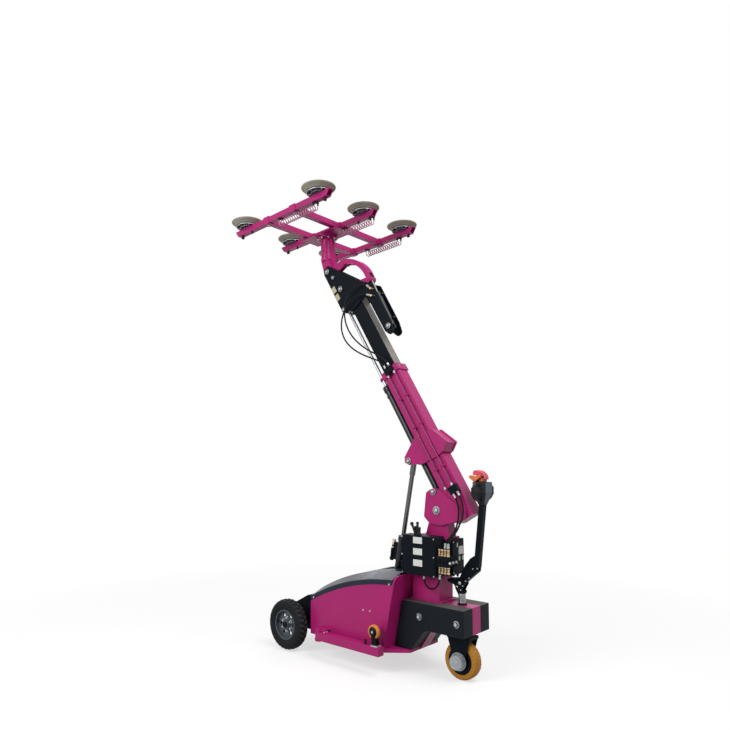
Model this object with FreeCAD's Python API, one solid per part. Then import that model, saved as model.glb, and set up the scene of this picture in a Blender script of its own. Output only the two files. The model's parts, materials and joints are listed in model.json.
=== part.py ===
import FreeCAD, Part
import math
import os

# Glass panel lifter: a pedestrian-guided glazing machine in millimetres.
# X points forward, Y to the machine's left and Z up. The boom is drawn level in its own frame
# (X along the boom, Z across it, origin on its pivot) and then raised, and the vacuum head in a
# frame of its own (origin on the head pin, Z square to the pads).

V = FreeCAD.Vector
ALONG_X = V(1, 0, 0)
ALONG_Y = V(0, 1, 0)
ALONG_Z = V(0, 0, 1)

# Plays and seats shared by every piece
OVERRUN = 3.0
SHAFT_PLAY = 0.05
SEAT_GAP = 0.3
SIDE_PLAY = 1.0
ROUND_ROOM_SHARE = 0.45

# Front wheels and axle
FRONT_AXLE_REACH = 200.0
FRONT_TRACK = 720.0
FRONT_TYRE_RADIUS = 200.0
FRONT_TYRE_WIDTH = 96.0
FRONT_RIM_RADIUS = 118.0
FRONT_RIM_WIDTH = 78.0
FRONT_RIM_WALL = 10.0
FRONT_DISC_THICKNESS = 12.0
FRONT_DISC_INSET = 6.0
FRONT_HUB_RADIUS = 36.0
FRONT_HUB_LENGTH = 66.0
FRONT_HUB_CAP_RADIUS = 24.0
FRONT_AXLE_RADIUS = 20.0
RIM_HOLES = 6
RIM_HOLE_RADIUS = 15.0
RIM_NUT_RADIUS = 9.0
RIM_NUT_HEIGHT = 12.0
RIM_HOLE_CIRCLE_SHARE = 0.70
RIM_NUT_CIRCLE_SHARE = 0.47
TYRE_BEAD_SHARE = 0.82
TYRE_WALL_SHARE = 0.45
TYRE_SHOULDER_SHARE = 0.85
TYRE_CROWN_SHARE = 0.72

# Front axle bracket, between the body and the axle
BRACKET_LENGTH = 296.0
BRACKET_HEIGHT = 285.0
BRACKET_HALF_WIDTH = 222.0
BRACKET_PLATE = 12.0
BRACKET_BOSS_RADIUS = 40.0
BRACKET_OUTLINE_SHARES = ((0.0, 0.0), (0.0, 1.0), (0.40, 0.95), (1.0, 0.62), (1.0, 0.10), (0.72, 0.0))

# Body tub, side panels and hood
BODY_FLOOR_Z = 150.0
BODY_FLOOR = 12.0
BODY_FRONT_X = 1300.0
FRONT_AXLE_X = BODY_FRONT_X + FRONT_AXLE_REACH
BODY_REAR_X = 545.0
BODY_HALF_WIDTH = 300.0
BODY_REAR_LEAN = 11.7
PANEL_THICKNESS = 6.0
PANEL_FRONT_HEIGHT = 254.0
PANEL_MIDDLE_HEIGHT = 423.0
PANEL_REAR_HEIGHT = 485.0
BULKHEAD_HEIGHT = 550.0
BULKHEAD_THICKNESS = 12.0
BULKHEAD_CORNER = 60.0
HOOD_DEPTH = 84.0
HOOD_BAND = 38.0
HOOD_SHOULDER = 120.0
HOOD_WALL = 5.0
HOOD_SEAT = 1.0
HOOD_SLOT_LENGTH = 210.0
HOOD_SLOT_WIDTH = 130.0
HOOD_SLOT_SETBACK = 35.0

# Tail beam, counterweights and their bolts
TAIL_X = -59.0
TAIL_TOP_Z = 513.0
TAIL_LOW_Z = 329.0
TAIL_HALF_WIDTH = 52.0
TAIL_LEDGE = 22.0
ARCH_FOOT_X = 392.0
ARCH_CROWN_X = 268.0
ARCH_RADIUS = 90.0
WEIGHT_HALF_WIDTH = 175.0
WEIGHT_EDGE = 6.0
WEIGHT_BOLT_XS = (310.0, -5.0)
WEIGHT_BOLT_DROP = 95.0
BOLT_WASHER_RADIUS = 24.0
BOLT_HEAD_RADIUS = 14.0
BOLT_WASHER_HEIGHT = 5.0
BOLT_HEAD_HEIGHT = 9.0

# Mast column and the pedestal that carries the boom
MAST_X = 312.0
MAST_LENGTH = 236.0
MAST_HALF_WIDTH = 88.0
MAST_WALL = 8.0
MAST_TOP_Z = 968.0
MAST_PLATE = 12.0
MAST_FOOT_MARGIN = 24.0
PIVOT_X = 220.0
PIVOT_Z = 1170.0
PIVOT_PIN_RADIUS = 20.0
PEDESTAL_LENGTH = 210.0
PEDESTAL_OFFSET = 15.0
PEDESTAL_HALF_WIDTH = 45.0
PEDESTAL_WALL = 12.0
PEDESTAL_CROWN_RADIUS = 62.0
PEDESTAL_BUSH_RADIUS = 36.0
PIVOT_HEAD_RADIUS = 30.0
PIVOT_HEAD_HEIGHT = 7.0

# Control box, valve bank and electrical box round the mast
CONTROL_X = 295.7
CONTROL_LENGTH = 298.6
CONTROL_DEPTH = 108.0
CONTROL_LOW_Z = 715.0
CONTROL_HEIGHT = 278.0
CONTROL_WALL = 5.0
CONTROL_COVER = 4.0
CONTROL_COVER_MARGIN = 6.0
VALVE_X = 96.0
VALVE_LENGTH = 100.0
VALVE_DEPTH = 104.0
VALVE_LOW_Z = 792.0
VALVE_HEIGHT = 72.0
VALVE_HANGER = 14.0
VALVE_SPOOLS = 4
VALVE_FITTING_RADIUS = 8.0
VALVE_FITTING_HEIGHT = 56.0
VALVE_NUT_RADIUS = 7.0
VALVE_NUT_HEIGHT = 14.0
ELECTRIC_LENGTH = 92.0
ELECTRIC_HALF_WIDTH = 79.0
ELECTRIC_OFFSET = -19.0
ELECTRIC_LOW_Z = 716.0
ELECTRIC_HEIGHT = 250.0

# Battery, hydraulic power pack and vacuum pump inside the tub
BATTERY_SETBACK = 190.0
BATTERY_X = BODY_FRONT_X - BATTERY_SETBACK
BATTERY_LENGTH = 300.0
BATTERY_WIDTH = 420.0
BATTERY_HEIGHT = 200.0
BATTERY_TERMINAL_RADIUS = 12.0
BATTERY_TERMINAL_HEIGHT = 16.0
BATTERY_TERMINAL_Y = 140.0
PACK_SETBACK = 438.0
PACK_X = BODY_FRONT_X - PACK_SETBACK
PACK_INSET = 128.0
PACK_Y = PACK_INSET - BODY_HALF_WIDTH
PACK_TANK_LENGTH = 170.0
PACK_TANK_WIDTH = 180.0
PACK_TANK_HEIGHT = 150.0
PACK_MOTOR_RADIUS = 55.0
PACK_MOTOR_HEIGHT = 130.0
PUMP_INSET = 128.0
PUMP_Y = BODY_HALF_WIDTH - PUMP_INSET
PUMP_LENGTH = 150.0
PUMP_WIDTH = 160.0
PUMP_HEIGHT = 110.0
PUMP_HEAD_RADIUS = 48.0
PUMP_HEAD_LENGTH = 90.0

# Steered drive wheel
STEER_X = 57.0
DRIVE_TYRE_RADIUS = 133.0
DRIVE_TYRE_WIDTH = 80.0
DRIVE_CORE_RADIUS = 94.0
DRIVE_TYRE_ROUND = 14.0
DRIVE_ROUND_SHARES = ((1.0, 0.0), (0.25, 0.5), (0.0, 1.5))
DRIVE_AXLE_RADIUS = 15.0
DRIVE_HUB_RADIUS = 42.0
DRIVE_WEB = 26.0
FORK_TOP_Z = 305.0
FORK_TOP_PLATE = 20.0
FORK_LENGTH = 190.0
FORK_SIDE_GAP = 6.0
FORK_PLATE = 12.0
FORK_LEG_HALF_LENGTH = 44.0
HUB_MOTOR_RADIUS = 50.0
HUB_MOTOR_LENGTH = 40.0
HUB_FLANGE_RADIUS = 62.0
HUB_FLANGE = 6.0
STEER_SHAFT_RADIUS = 22.0
STEER_SHAFT_TOP_Z = 606.0
STEER_COLLAR_RADIUS = 34.0
STEER_COLLAR_HEIGHT = 9.0

# Tiller: gusseted foot, leaning arm and gas strut
TILLER_PIN_X = 52.0
TILLER_PIN_Z = 668.0
TILLER_PIN_RADIUS = 10.0
TILLER_KNEE_X = -74.0
TILLER_KNEE_Z = 788.0
TILLER_TOP_X = -124.0
TILLER_TOP_Z = 1226.0
TILLER_ARM_SIZE = 40.0
TILLER_WALL = 4.0
TILLER_FOOT_LENGTH = 150.0
TILLER_FOOT_HEIGHT = 200.0
TILLER_FOOT_CORNER = 10.0
TILLER_FOOT_SHARES = ((-0.773, 1.01), (-0.533, 0.89), (-0.22, 0.61), (0.16, 0.06), (0.0, -0.13),
                      (-0.933, 0.46), (-0.987, 0.75))
TILLER_EYE_RADIUS = 26.0
TILLER_CHEEK = 8.0
TILLER_CHEEK_RADIUS = 34.0
TILLER_TOE_X = 150.0
TILLER_TOE_Z = 676.0
TILLER_TOE_RADIUS = 12.0
STRUT_LOW_Z = 545.0
STRUT_TUBE_RADIUS = 9.0
STRUT_ROD_RADIUS = 5.0
STRUT_TUBE_SHARE = 0.62

# Tiller head: body, side handles, reversing button and throttle
HEAD_BOX_X = -125.0
HEAD_BOX_LENGTH = 98.0
HEAD_BOX_HALF_WIDTH = 54.0
HEAD_BOX_FOOT_LENGTH = 46.0
HEAD_BOX_FOOT_HALF_WIDTH = 30.0
HEAD_BOX_TAPER = 84.0
HEAD_BOX_SHOULDER = 158.0
HEAD_BOX_ROUND = 12.0
HEAD_NECK_X = -104.0
HEAD_NECK_LENGTH = 80.0
HEAD_NECK_HALF_WIDTH = 31.0
HEAD_NECK_HEIGHT = 40.0
LOOP_RADIUS = 11.0
LOOP_REACH = 130.0
LOOP_HEIGHT = 142.0
LOOP_SHARES = ((0.35, 1.0), (1.0, 0.93), (1.0, 0.42), (0.20, 0.10))
BUTTON_HALF_LENGTH = 38.0
BUTTON_HALF_WIDTH = 31.0
BUTTON_HEIGHT = 36.0
BUTTON_STEM_RADIUS = 8.0
BUTTON_STEM_DEPTH = 24.0
BUTTON_STEM_SETBACK = 10.0
BUTTON_TRAVEL = 6.0
BUTTON_ROUND = 10.0
THROTTLE_RADIUS = 9.0
THROTTLE_ADVANCE = 10.0
THROTTLE_RISE = 21.0
THROTTLE_HUB_RADIUS = 16.5
THROTTLE_WING_REACH = 30.0
THROTTLE_WING_RISE = 15.0
THROTTLE_WING_WIDTH = 30.0
THROTTLE_WING_TIP = 11.0
THROTTLE_SIDE_GAP = 2.0

# Boom: angle of the raised boom, outer tube and what is welded to it
BOOM_ANGLE = 58.7
OUTER_LOW_X = -163.0
OUTER_TOP_X = 1140.0
OUTER_HALF_WIDTH = 58.0
OUTER_LOW_Z = 99.0
OUTER_DEPTH = 154.0
OUTER_WALL = 6.0
COLLAR_LENGTH = 58.0
COLLAR_RISE = 9.0
COLLAR_OVERHANG = 30.0
SIDE_PLATE = 12.0
SIDE_PLATE_CORNER = 26.0
BASE_PLATE_FRONT = 162.0
BASE_PLATE_DROP = 126.0
BASE_PLATE_SHARES = ((0.98, -0.12), (0.98, 0.30), (0.72, 0.78), (-0.98, 1.80), (-0.98, 1.14), (-0.66, -0.24),
                     (-0.30, -0.84), (0.10, -1.0))
SADDLE_BACK_X = 333.0
SADDLE_LENGTH = 230.0
SADDLE_LOW_Z = -70.0
SADDLE_HEIGHT = 414.0
SADDLE_CAP = 10.0
SADDLE_CAP_INSET = 10.0
SADDLE_SHARES = ((0.0, 0.70), (0.08, 0.35), (0.34, 0.06), (0.50, 0.0), (0.66, 0.05), (0.92, 0.34),
                 (1.0, 0.44), (0.88, 0.83), (0.20, 1.0), (0.03, 0.84))

# Extension cylinder under the boom
EXTEND_PIN_X = 130.0
EXTEND_Z = 46.0
EXTEND_PIN_RADIUS = 14.0
EXTEND_EYE_RADIUS = 28.0
EXTEND_EYE_HALF_WIDTH = 24.0
EXTEND_BARREL_RADIUS = 30.0
EXTEND_BORE_RADIUS = 23.0
EXTEND_BARREL_TOP_X = 1088.0
EXTEND_BARREL_BASE = 30.0
EXTEND_GLAND_RADIUS = 34.0
EXTEND_GLAND_LENGTH = 46.0
EXTEND_ROD_RADIUS = 14.0
EXTEND_PISTON_X = 830.0
EXTEND_PISTON_LENGTH = 40.0
EXTEND_ROD_PIN_X = 1898.0
EXTEND_ROD_EYE_RADIUS = 23.4
GUIDE_THICKNESS = 18.0
GUIDE_HALF_WIDTH = 24.0

# Pipes and manifolds on the boom's left side
PIPE_RADIUS = 6.0
PIPE_Y = 80.0
PIPE_SHARES = (0.36, 0.79)
MANIFOLD_DEPTH = 36.0
MANIFOLD_LENGTH = 56.0
MANIFOLD_HEIGHT = 72.0
LOW_MANIFOLD_X = 56.0
LOW_MANIFOLD_SHARE = 0.76
TOP_MANIFOLD_X = 1140.0
TOP_MANIFOLD_SHARE = 0.56
ELBOW_RADIUS = 9.0
ELBOW_LENGTH = 20.0

# Inner boom and the head plates on its end
INNER_HALF_WIDTH = 46.0
INNER_LOW_Z = 112.0
INNER_DEPTH = 128.0
INNER_WALL = 6.0
INNER_LOW_X = 560.0
INNER_TOP_X = 1985.0
WEAR_PAD_LENGTH = 90.0
HEAD_PLATE_LOW_X = 1398.0
HEAD_PLATE_LENGTH = 976.0
HEAD_PLATE_LOW_Z = 20.0
HEAD_PLATE_DEPTH = 390.0
HEAD_PLATE_SHARES = ((1.0, 0.05), (1.0, 0.20), (0.61, 0.76), (0.50, 0.99), (0.10, 0.97), (0.0, 0.92),
                     (0.0, 0.79), (0.06, 0.73), (0.455, 0.73), (0.455, 0.56), (0.44, 0.32), (0.52, 0.0),
                     (0.95, 0.0))
HEAD_PIN_X = 2328.0
HEAD_PIN_Z = 65.0
HEAD_PIN_RADIUS = 18.0
CROSS_BOLT_X = 2234.0
CROSS_BOLT_Z = 91.0
CROSS_BOLT_RADIUS = 10.0
PIN_HEAD_RADIUS = 22.0
PIN_HEAD_HEIGHT = 6.0

# Tilt linkage: rocker, arched link, yoke lever and cylinder
ROCKER_PIN_X = 2086.0
ROCKER_PIN_Z = 108.0
LINK_PIN_X = 1965.0
LINK_PIN_Z = 383.0
TILT_BASE_X = 1468.0
TILT_BASE_Z = 357.0
YOKE_PIN_X = 2294.0
YOKE_PIN_Z = 241.0
LINK_PIN_RADIUS = 12.0
ROD_EYE_HALF_WIDTH = 12.0
ROCKER_PLATE = 10.0
ROCKER_EYE_RADIUS = 26.0
ARCH_PLATE = 11.0
ARCH_WIDTH = 42.0
ARCH_RISE = 56.0
ARCH_WEB = 8.0
ARCH_WEB_CLEAR = 61.6
ARCH_EYE_RADIUS = 27.0
TILT_BARREL_RADIUS = 26.0
TILT_BORE_RADIUS = 20.0
TILT_BARREL_LENGTH = 350.0
TILT_BARREL_BASE = 30.0
TILT_EYE_RADIUS = 26.0
TILT_ROD_RADIUS = 14.0
TILT_ROD_EYE_RADIUS = 24.0
TILT_ROD_TUCK = 60.0
TILT_PORT_INSET = 40.0
TILT_PORT_RADIUS = 8.0
TILT_PORT_HEIGHT = 48.0

# Luffing cylinder from the tub floor to the saddle
LUFF_PIN_X = 439.0
LUFF_PIN_Z = -30.0
LUFF_PIN_RADIUS = 15.0
LUFF_BASE_X = 690.0
LUFF_BASE_Z = 400.0
LUFF_EYE_RADIUS = 28.0
LUFF_EYE_HALF_WIDTH = 24.0
LUFF_ROD_RADIUS = 18.0
LUFF_ROD_LENGTH = 700.0
LUFF_SLEEVE_RADIUS = 23.0
LUFF_SLEEVE_LENGTH = 110.0
LUFF_BARREL_RADIUS = 33.0
LUFF_BORE_RADIUS = 26.0
LUFF_BARREL_LENGTH = 558.0
LUFF_BARREL_BASE = 40.0
LUFF_GLAND_RADIUS = 38.0
LUFF_GLAND_LENGTH = 34.0
CLEVIS_GAP = 12.0
CLEVIS_PLATE = 14.0
CLEVIS_HALF_LENGTH = 42.0

# Vacuum head: yoke, turntable and frame
HEAD_LEAN = 3.4
SLEW_OFFSET = 50.0
YOKE_HALF_WIDTH = 44.0
YOKE_BOSS_RADIUS = 56.0
YOKE_LEVER_HALF_WIDTH = 22.0
YOKE_LEVER_RADIUS = 28.0
YOKE_PIN_MARGIN = 3.0
NECK_RADIUS = 56.0
NECK_LOW_Z = 120.0
NECK_TOP_Z = 343.0
NECK_FLANGE_RADIUS = 92.0
NECK_FLANGE = 14.0
SPIGOT_RADIUS = 32.0
SPIGOT_LENGTH = 90.0
TURNTABLE_RADIUS = 104.0
TURNTABLE = 12.0
HUB_PLATE = 10.0
HUB_HALF_LENGTH = 215.0
HUB_HALF_WIDTH = 105.0
ARM_SPACING = 538.0
ARM_HALF_LENGTH = 592.0
ARM_SIZE = 50.0
ARM_WALL = 4.0
ARM_BEVEL = 34.0
BEAM_SIZE = 50.0
BEAM_WALL = 4.0
BEAM_OFFSET = 165.0
SLEEVE_WALL = 6.0
SLEEVE_LENGTH = 72.0

# Suction pads
PAD_OFFSET = 452.0
PAD_POST_RADIUS = 22.0
PAD_POST_HEIGHT = 14.0
PAD_PLATE_RADIUS = 98.0
PAD_PLATE = 8.0
PAD_RIBS = 6
PAD_RIB = 7.0
PAD_RIB_HEIGHT = 10.0
PAD_RIB_RING_SHARE = 0.62
PAD_LIP_RADIUS = 139.0
PAD_LIP_HEIGHT = 34.0
PAD_LIP_THICKNESS = 9.0
PAD_LIP_SEAT_SHARE = 0.86
PAD_ELBOW_RADIUS = 9.0
PAD_ELBOW_HEIGHT = 14.0
PAD_ELBOW_INSET = 62.0

# Curly vacuum hoses under the arms
CURL_TUBE_RADIUS = 4.0
CURL_RADIUS = 22.0
CURL_PITCH = 27.0
CURL_LEAD = 8.0
CURL_EASE = 14.0
CURL_BRACKET = 8.0
CURL_PORT = 16.0
CURL_PORT_RADIUS = 7.0
CURL_COUNTS = (15, 11, 14)
CURL_STARTS = (-415.0, -545.0, -415.0)

# Folding stabiliser arms with their castors
STAY_STANDOFF = 72.0
STAY_Y = BODY_HALF_WIDTH + STAY_STANDOFF
STAY_Z = 180.0
STAY_SETBACK = 170.0
STAY_PIN_X = BODY_FRONT_X - STAY_SETBACK
STAY_END_X = 600.0
STAY_SIZE = 60.0
STAY_WALL = 5.0
STAY_PIN_RADIUS = 10.0
STAY_LUG = 9.0
STAY_LUG_PLAY = 2.0
STAY_LUG_LENGTH = 100.0
STAY_SOCKET_LENGTH = 90.0
CARRIER_LENGTH = 96.0
CARRIER_GAP = 1.0
CARRIER_SPIGOT_RADIUS = 18.0
CARRIER_SPIGOT_LENGTH = 84.0
CASTOR_RACE_RADIUS = 22.0
CASTOR_RACE_HEIGHT = 10.0
CASTOR_CROWN = 8.0
CASTOR_TRAIL = 16.0
CASTOR_WHEEL_RADIUS = 50.0
CASTOR_WHEEL_WIDTH = 28.0
CASTOR_LEG = 4.0
CASTOR_LEG_HALF_LENGTH = 15.0
CASTOR_SIDE_GAP = 2.0
CASTOR_AXLE_RADIUS = 6.0
CASTOR_GROUND_GAP = 2.0

# Hydraulic hoses, as points along their routes in the boom frame and in the machine frame
HOSE_RADIUS = 6.5
HEAD_HOSE_ROUTES = (
    ((1168, 84, 165), (1214, 84, 165), (1262, 90, 150), (1314, 102, 112), (1374, 114, 68), (1440, 122, 26),
     (1512, 124, -10), (1590, 122, -36), (1668, 117, -44), (1744, 112, -30), (1812, 106, 10), (1862, 100, 68),
     (1890, 94, 134), (1892, 90, 202), (1874, 87, 264), (1838, 86, 316), (1796, 86, 350)),
    ((1168, 84, 205), (1216, 84, 205), (1268, 92, 190), (1328, 104, 156), (1396, 114, 116), (1466, 119, 82),
     (1540, 119, 54), (1616, 115, 34), (1694, 110, 26), (1772, 106, 34), (1846, 102, 62), (1908, 98, 108),
     (1950, 94, 170), (1964, 90, 240), (1948, 87, 308), (1908, 86, 360), (1856, 86, 380)))
BASE_HOSE_ROUTES = (
    ((32.7, 82, 1316.3), (12, 82, 1282.2), (-8, 85, 1240), (-21, 92, 1192), (-22, 104, 1142),
     (-10, 121, 1092), (4, 135, 1048), (24, 148, 1012), (46, 160, 985), (58.5, 166, 955), (58.5, 166, 920.3)),
    ((65.2, 82, 1296.6), (45, 82, 1263.3), (28, 85, 1222), (17, 92, 1176), (13, 103, 1130), (16, 116, 1084),
     (26, 131, 1040), (46, 146, 1006), (70, 159.5, 982), (83.5, 166, 955), (83.5, 166, 920.3)),
    ((133.5, 166, 735.7), (133.5, 166, 704), (148, 164, 664), (178, 160, 632), (214, 154, 620),
     (250, 147, 626), (280, 140, 650), (294, 134, 682), (294, 134, 714.7)))


def derived_boxes():
    """Heights in the head frame that stack one on another."""
    turntable_low = NECK_TOP_Z + SEAT_GAP
    hub_low = turntable_low + TURNTABLE
    sleeve_low = hub_low + HUB_PLATE
    arm_centre = sleeve_low + SLEEVE_WALL + SHAFT_PLAY + ARM_SIZE / 2
    return turntable_low, hub_low, sleeve_low, arm_centre


TURNTABLE_LOW, HUB_LOW, SLEEVE_LOW, ARM_Z = derived_boxes()
PAD_PLATE_LOW = ARM_Z + ARM_SIZE / 2 + PAD_POST_HEIGHT


# Shape helpers

def around(centre, half):
    """A low and high pair on both sides of a centre."""
    return centre - half, centre + half


def on_side(side, near, far):
    """A low and high pair from two distances to the middle, on one side of the machine."""
    return tuple(sorted((side * near, side * far)))


def box(x, y, z):
    """A block between three low and high pairs."""
    return Part.makeBox(x[1] - x[0], y[1] - y[0], z[1] - z[0], V(x[0], y[0], z[0]))


def along_x(y, z, radius, x):
    """A round bar along X."""
    return Part.makeCylinder(radius, x[1] - x[0], V(x[0], y, z), ALONG_X)


def along_y(x, z, radius, y):
    """A round bar along Y."""
    return Part.makeCylinder(radius, y[1] - y[0], V(x, y[0], z), ALONG_Y)


def along_z(x, y, radius, z):
    """A round bar along Z."""
    return Part.makeCylinder(radius, z[1] - z[0], V(x, y, z[0]), ALONG_Z)


def bar(start, end, radius):
    """A round bar between two points."""
    run = end.sub(start)
    return Part.makeCylinder(radius, run.Length, start, run)


def fuse(*shapes):
    """One clean solid from pieces that overlap or touch."""
    return shapes[0].fuse(list(shapes[1:])).removeSplitter()


def cut(shape, *tools):
    """A shape with every tool taken out of it."""
    return shape.cut(list(tools))


def wider(pair, amount=OVERRUN):
    """A low and high pair that runs past both of its ends."""
    return pair[0] - amount, pair[1] + amount


def rounded_wire(points, radius):
    """A closed wire through points, each corner rounded as far as its two sides allow."""
    count = len(points)
    starts, ends, middles = [], [], []
    for i, corner in enumerate(points):
        back = points[i - 1].sub(corner)
        ahead = points[(i + 1) % count].sub(corner)
        half = back.getAngle(ahead) / 2
        room = ROUND_ROOM_SHARE * min(back.Length, ahead.Length)
        reach = min(radius / math.tan(half), room) if radius else 0
        first = corner.add(V(back).normalize().multiply(reach))
        last = corner.add(V(ahead).normalize().multiply(reach))
        inward = V(back).normalize().add(V(ahead).normalize())
        if reach and inward.Length:
            centre_distance = reach / math.cos(half)
            bow = centre_distance - reach * math.tan(half)
            middles.append(corner.add(inward.normalize().multiply(bow)))
        else:
            middles.append(None)
        starts.append(first)
        ends.append(last)
    edges = []
    for i in range(count):
        if middles[i] is not None:
            edges.append(Part.Arc(starts[i], middles[i], ends[i]).toShape())
        following = starts[(i + 1) % count]
        if ends[i].distanceToPoint(following) > Part.Precision.confusion():
            edges.append(Part.makeLine(ends[i], following))
    return Part.Wire(edges)


def level_outline(x, y, z, radius):
    """A level rounded rectangle between two pairs, at a height."""
    return rounded_wire([V(x[0], y[0], z), V(x[1], y[0], z), V(x[1], y[1], z), V(x[0], y[1], z)], radius)


def plate(outline, y, radius=0.0):
    """A plate cut to an outline in XZ and as thick as a Y pair."""
    wire = rounded_wire([V(px, y[0], pz) for px, pz in outline], radius)
    return Part.Face(wire).extrude(V(0, y[1] - y[0], 0))


def scaled(shares, origin, size):
    """An outline from shares of two sizes."""
    return [(origin[0] + sx * size[0], origin[1] + sz * size[1]) for sx, sz in shares]


def turned_y(profile, x, z):
    """A body of revolution about an axle along Y, from (radius, y) points."""
    points = [V(x + r, y, z) for r, y in profile]
    face = Part.Face(Part.makePolygon(points + points[:1]))
    return face.revolve(V(x, 0, z), ALONG_Y, 360)


def turned_z(profile, x, y):
    """A body of revolution about an upright axis, from (radius, z) points."""
    points = [V(x + r, y, z) for r, z in profile]
    face = Part.Face(Part.makePolygon(points + points[:1]))
    return face.revolve(V(x, y, 0), ALONG_Z, 360)


def link_plate(start, end, start_radius, end_radius, y):
    """A flat link with a round eye at each end, tapered between them."""
    run = V(end[0] - start[0], 0, end[1] - start[1])
    across = V(-run.z, 0, run.x).normalize()
    a, b = V(start[0], y[0], start[1]), V(end[0], y[0], end[1])
    corners = [a.add(across * start_radius), b.add(across * end_radius),
               b.sub(across * end_radius), a.sub(across * start_radius)]
    web = Part.Face(Part.makePolygon(corners + corners[:1])).extrude(V(0, y[1] - y[0], 0))
    return fuse(web, along_y(*start, start_radius, y), along_y(*end, end_radius, y))


def bent_bar(points, radius):
    """A round bar along straight runs joined by the largest tangent arcs that they leave room for."""
    edges, radii, last = [], [], points[0]
    for before, here, after in zip(points, points[1:], points[2:]):
        back, ahead = before.sub(here), after.sub(here)
        half = back.getAngle(ahead) / 2
        reach = ROUND_ROOM_SHARE * min(back.Length, ahead.Length)
        first = here.add(V(back).normalize() * reach)
        final = here.add(V(ahead).normalize() * reach)
        inward = V(back).normalize().add(V(ahead).normalize()).normalize()
        middle = here.add(inward * (reach / math.cos(half) - reach * math.tan(half)))
        edges += [Part.makeLine(last, first), Part.Arc(first, middle, final).toShape()]
        radii.append(reach * math.tan(half))
        last = final
    path = Part.Wire(edges + [Part.makeLine(last, points[-1])])
    ring = Part.Wire(Part.makeCircle(radius, points[0], points[1].sub(points[0])))
    return path.makePipeShell([ring], True, False), path.Length, min(radii)


def hose(points, radius):
    """A hose along points, with its least bend and its volume printed."""
    tube, length, bend = bent_bar(points, radius)
    share = tube.Volume / (math.pi * radius ** 2 * length)
    print("hose: least bend radius %.0f, volume over section times length %.4f" % (bend, share))
    return tube


def biarc(start, start_way, end, end_way):
    """Two arcs that leave one point and reach another along given directions."""
    run, ways = end.sub(start), start_way.add(end_way)
    spread = 2 * (1 - start_way.dot(end_way))
    along = run.dot(ways)
    if spread:
        reach = (-along + math.sqrt(along ** 2 + spread * run.dot(run))) / spread
    else:
        reach = run.dot(run) / (2 * along)
    knee_a, knee_b = start.add(start_way * reach), end.sub(end_way * reach)
    joint = knee_a.add(knee_b) * 0.5
    arcs = []
    for a, knee, b in ((start, knee_a, joint), (joint, knee_b, end)):
        chord = b.sub(a)
        centre = a.add(chord * 0.5)
        bow = knee.sub(centre)
        turn = math.atan2(bow.Length, chord.Length / 2)
        arcs.append(Part.Arc(a, centre.add(bow.normalize() * (chord.Length / 2 * math.tan(turn / 2))), b))
    return [arc.toShape() for arc in arcs]


def curly_hose(start, curls):
    """A curly hose along X: straight down from one fitting, a helix, and straight up to another."""
    slope = math.atan2(CURL_PITCH, 2 * math.pi * CURL_RADIUS)
    ease = CURL_EASE * math.tan(slope / 2)
    turns = curls + 0.5
    axis = start.add(V(ease, CURL_RADIUS, -CURL_LEAD - CURL_EASE))

    def at(turn):
        angle = math.pi + 2 * math.pi * turn
        return axis.add(V(CURL_PITCH * turn, CURL_RADIUS * math.cos(angle), CURL_RADIUS * math.sin(angle)))

    def way(turn):
        angle = math.pi + 2 * math.pi * turn
        step = 2 * math.pi * CURL_RADIUS
        return V(CURL_PITCH, -step * math.sin(angle), step * math.cos(angle)).normalize()

    down, up = V(0, 0, -1), V(0, 0, 1)
    neck = start.add(down * CURL_LEAD)
    edges = [Part.makeLine(start, neck)] + biarc(neck, down, at(0), way(0))
    for half in range(2 * curls + 1):
        edges += biarc(at(half / 2), way(half / 2), at((half + 1) / 2), way((half + 1) / 2))
    last_neck = at(turns).add(V(ease, 0, CURL_EASE))
    finish = last_neck.add(up * CURL_LEAD)
    edges += biarc(at(turns), way(turns), last_neck, up) + [Part.makeLine(last_neck, finish)]
    path = Part.Wire(edges)
    tube = path.makePipeShell([Part.Wire(Part.makeCircle(CURL_TUBE_RADIUS, start, down))], True, False)
    steps = 36
    line = [start, neck] + [at(i / steps) for i in range(int(turns * steps) + 1)] + [last_neck, finish]
    gap = min(a.distanceToPoint(b) for i, a in enumerate(line) for b in line[i + steps // 2:i + 2 * steps])
    share = tube.Volume / (math.pi * CURL_TUBE_RADIUS ** 2 * path.Length)
    gap -= 2 * CURL_TUBE_RADIUS
    print("curly hose: least gap %.2f, volume over section times length %.4f" % (gap, share))
    return tube, finish


# Places of one frame in another

def raised(shape):
    """A shape drawn in the boom frame, placed on the raised boom."""
    placed = shape.copy()
    placed.Placement = FreeCAD.Placement(V(PIVOT_X, 0, PIVOT_Z), FreeCAD.Rotation(ALONG_Y, -BOOM_ANGLE))
    return placed


def boom_point(x, z, y=0.0):
    """A boom-frame place as a machine-frame point."""
    turn = FreeCAD.Rotation(ALONG_Y, -BOOM_ANGLE)
    return turn.multVec(V(x, y, z)).add(V(PIVOT_X, 0, PIVOT_Z))


def on_head(shape):
    """A shape drawn in the head frame, placed at the boom's head pin."""
    placed = shape.copy()
    placed.Placement = FreeCAD.Placement(boom_point(HEAD_PIN_X, HEAD_PIN_Z),
                                         FreeCAD.Rotation(ALONG_Y, HEAD_LEAN))
    return placed


def head_place(x, z):
    """Boom-frame place in head-frame terms."""
    offset = boom_point(x, z).sub(boom_point(HEAD_PIN_X, HEAD_PIN_Z))
    local = FreeCAD.Rotation(ALONG_Y, -HEAD_LEAN).multVec(offset)
    return local.x, local.z


# Wheels

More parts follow.
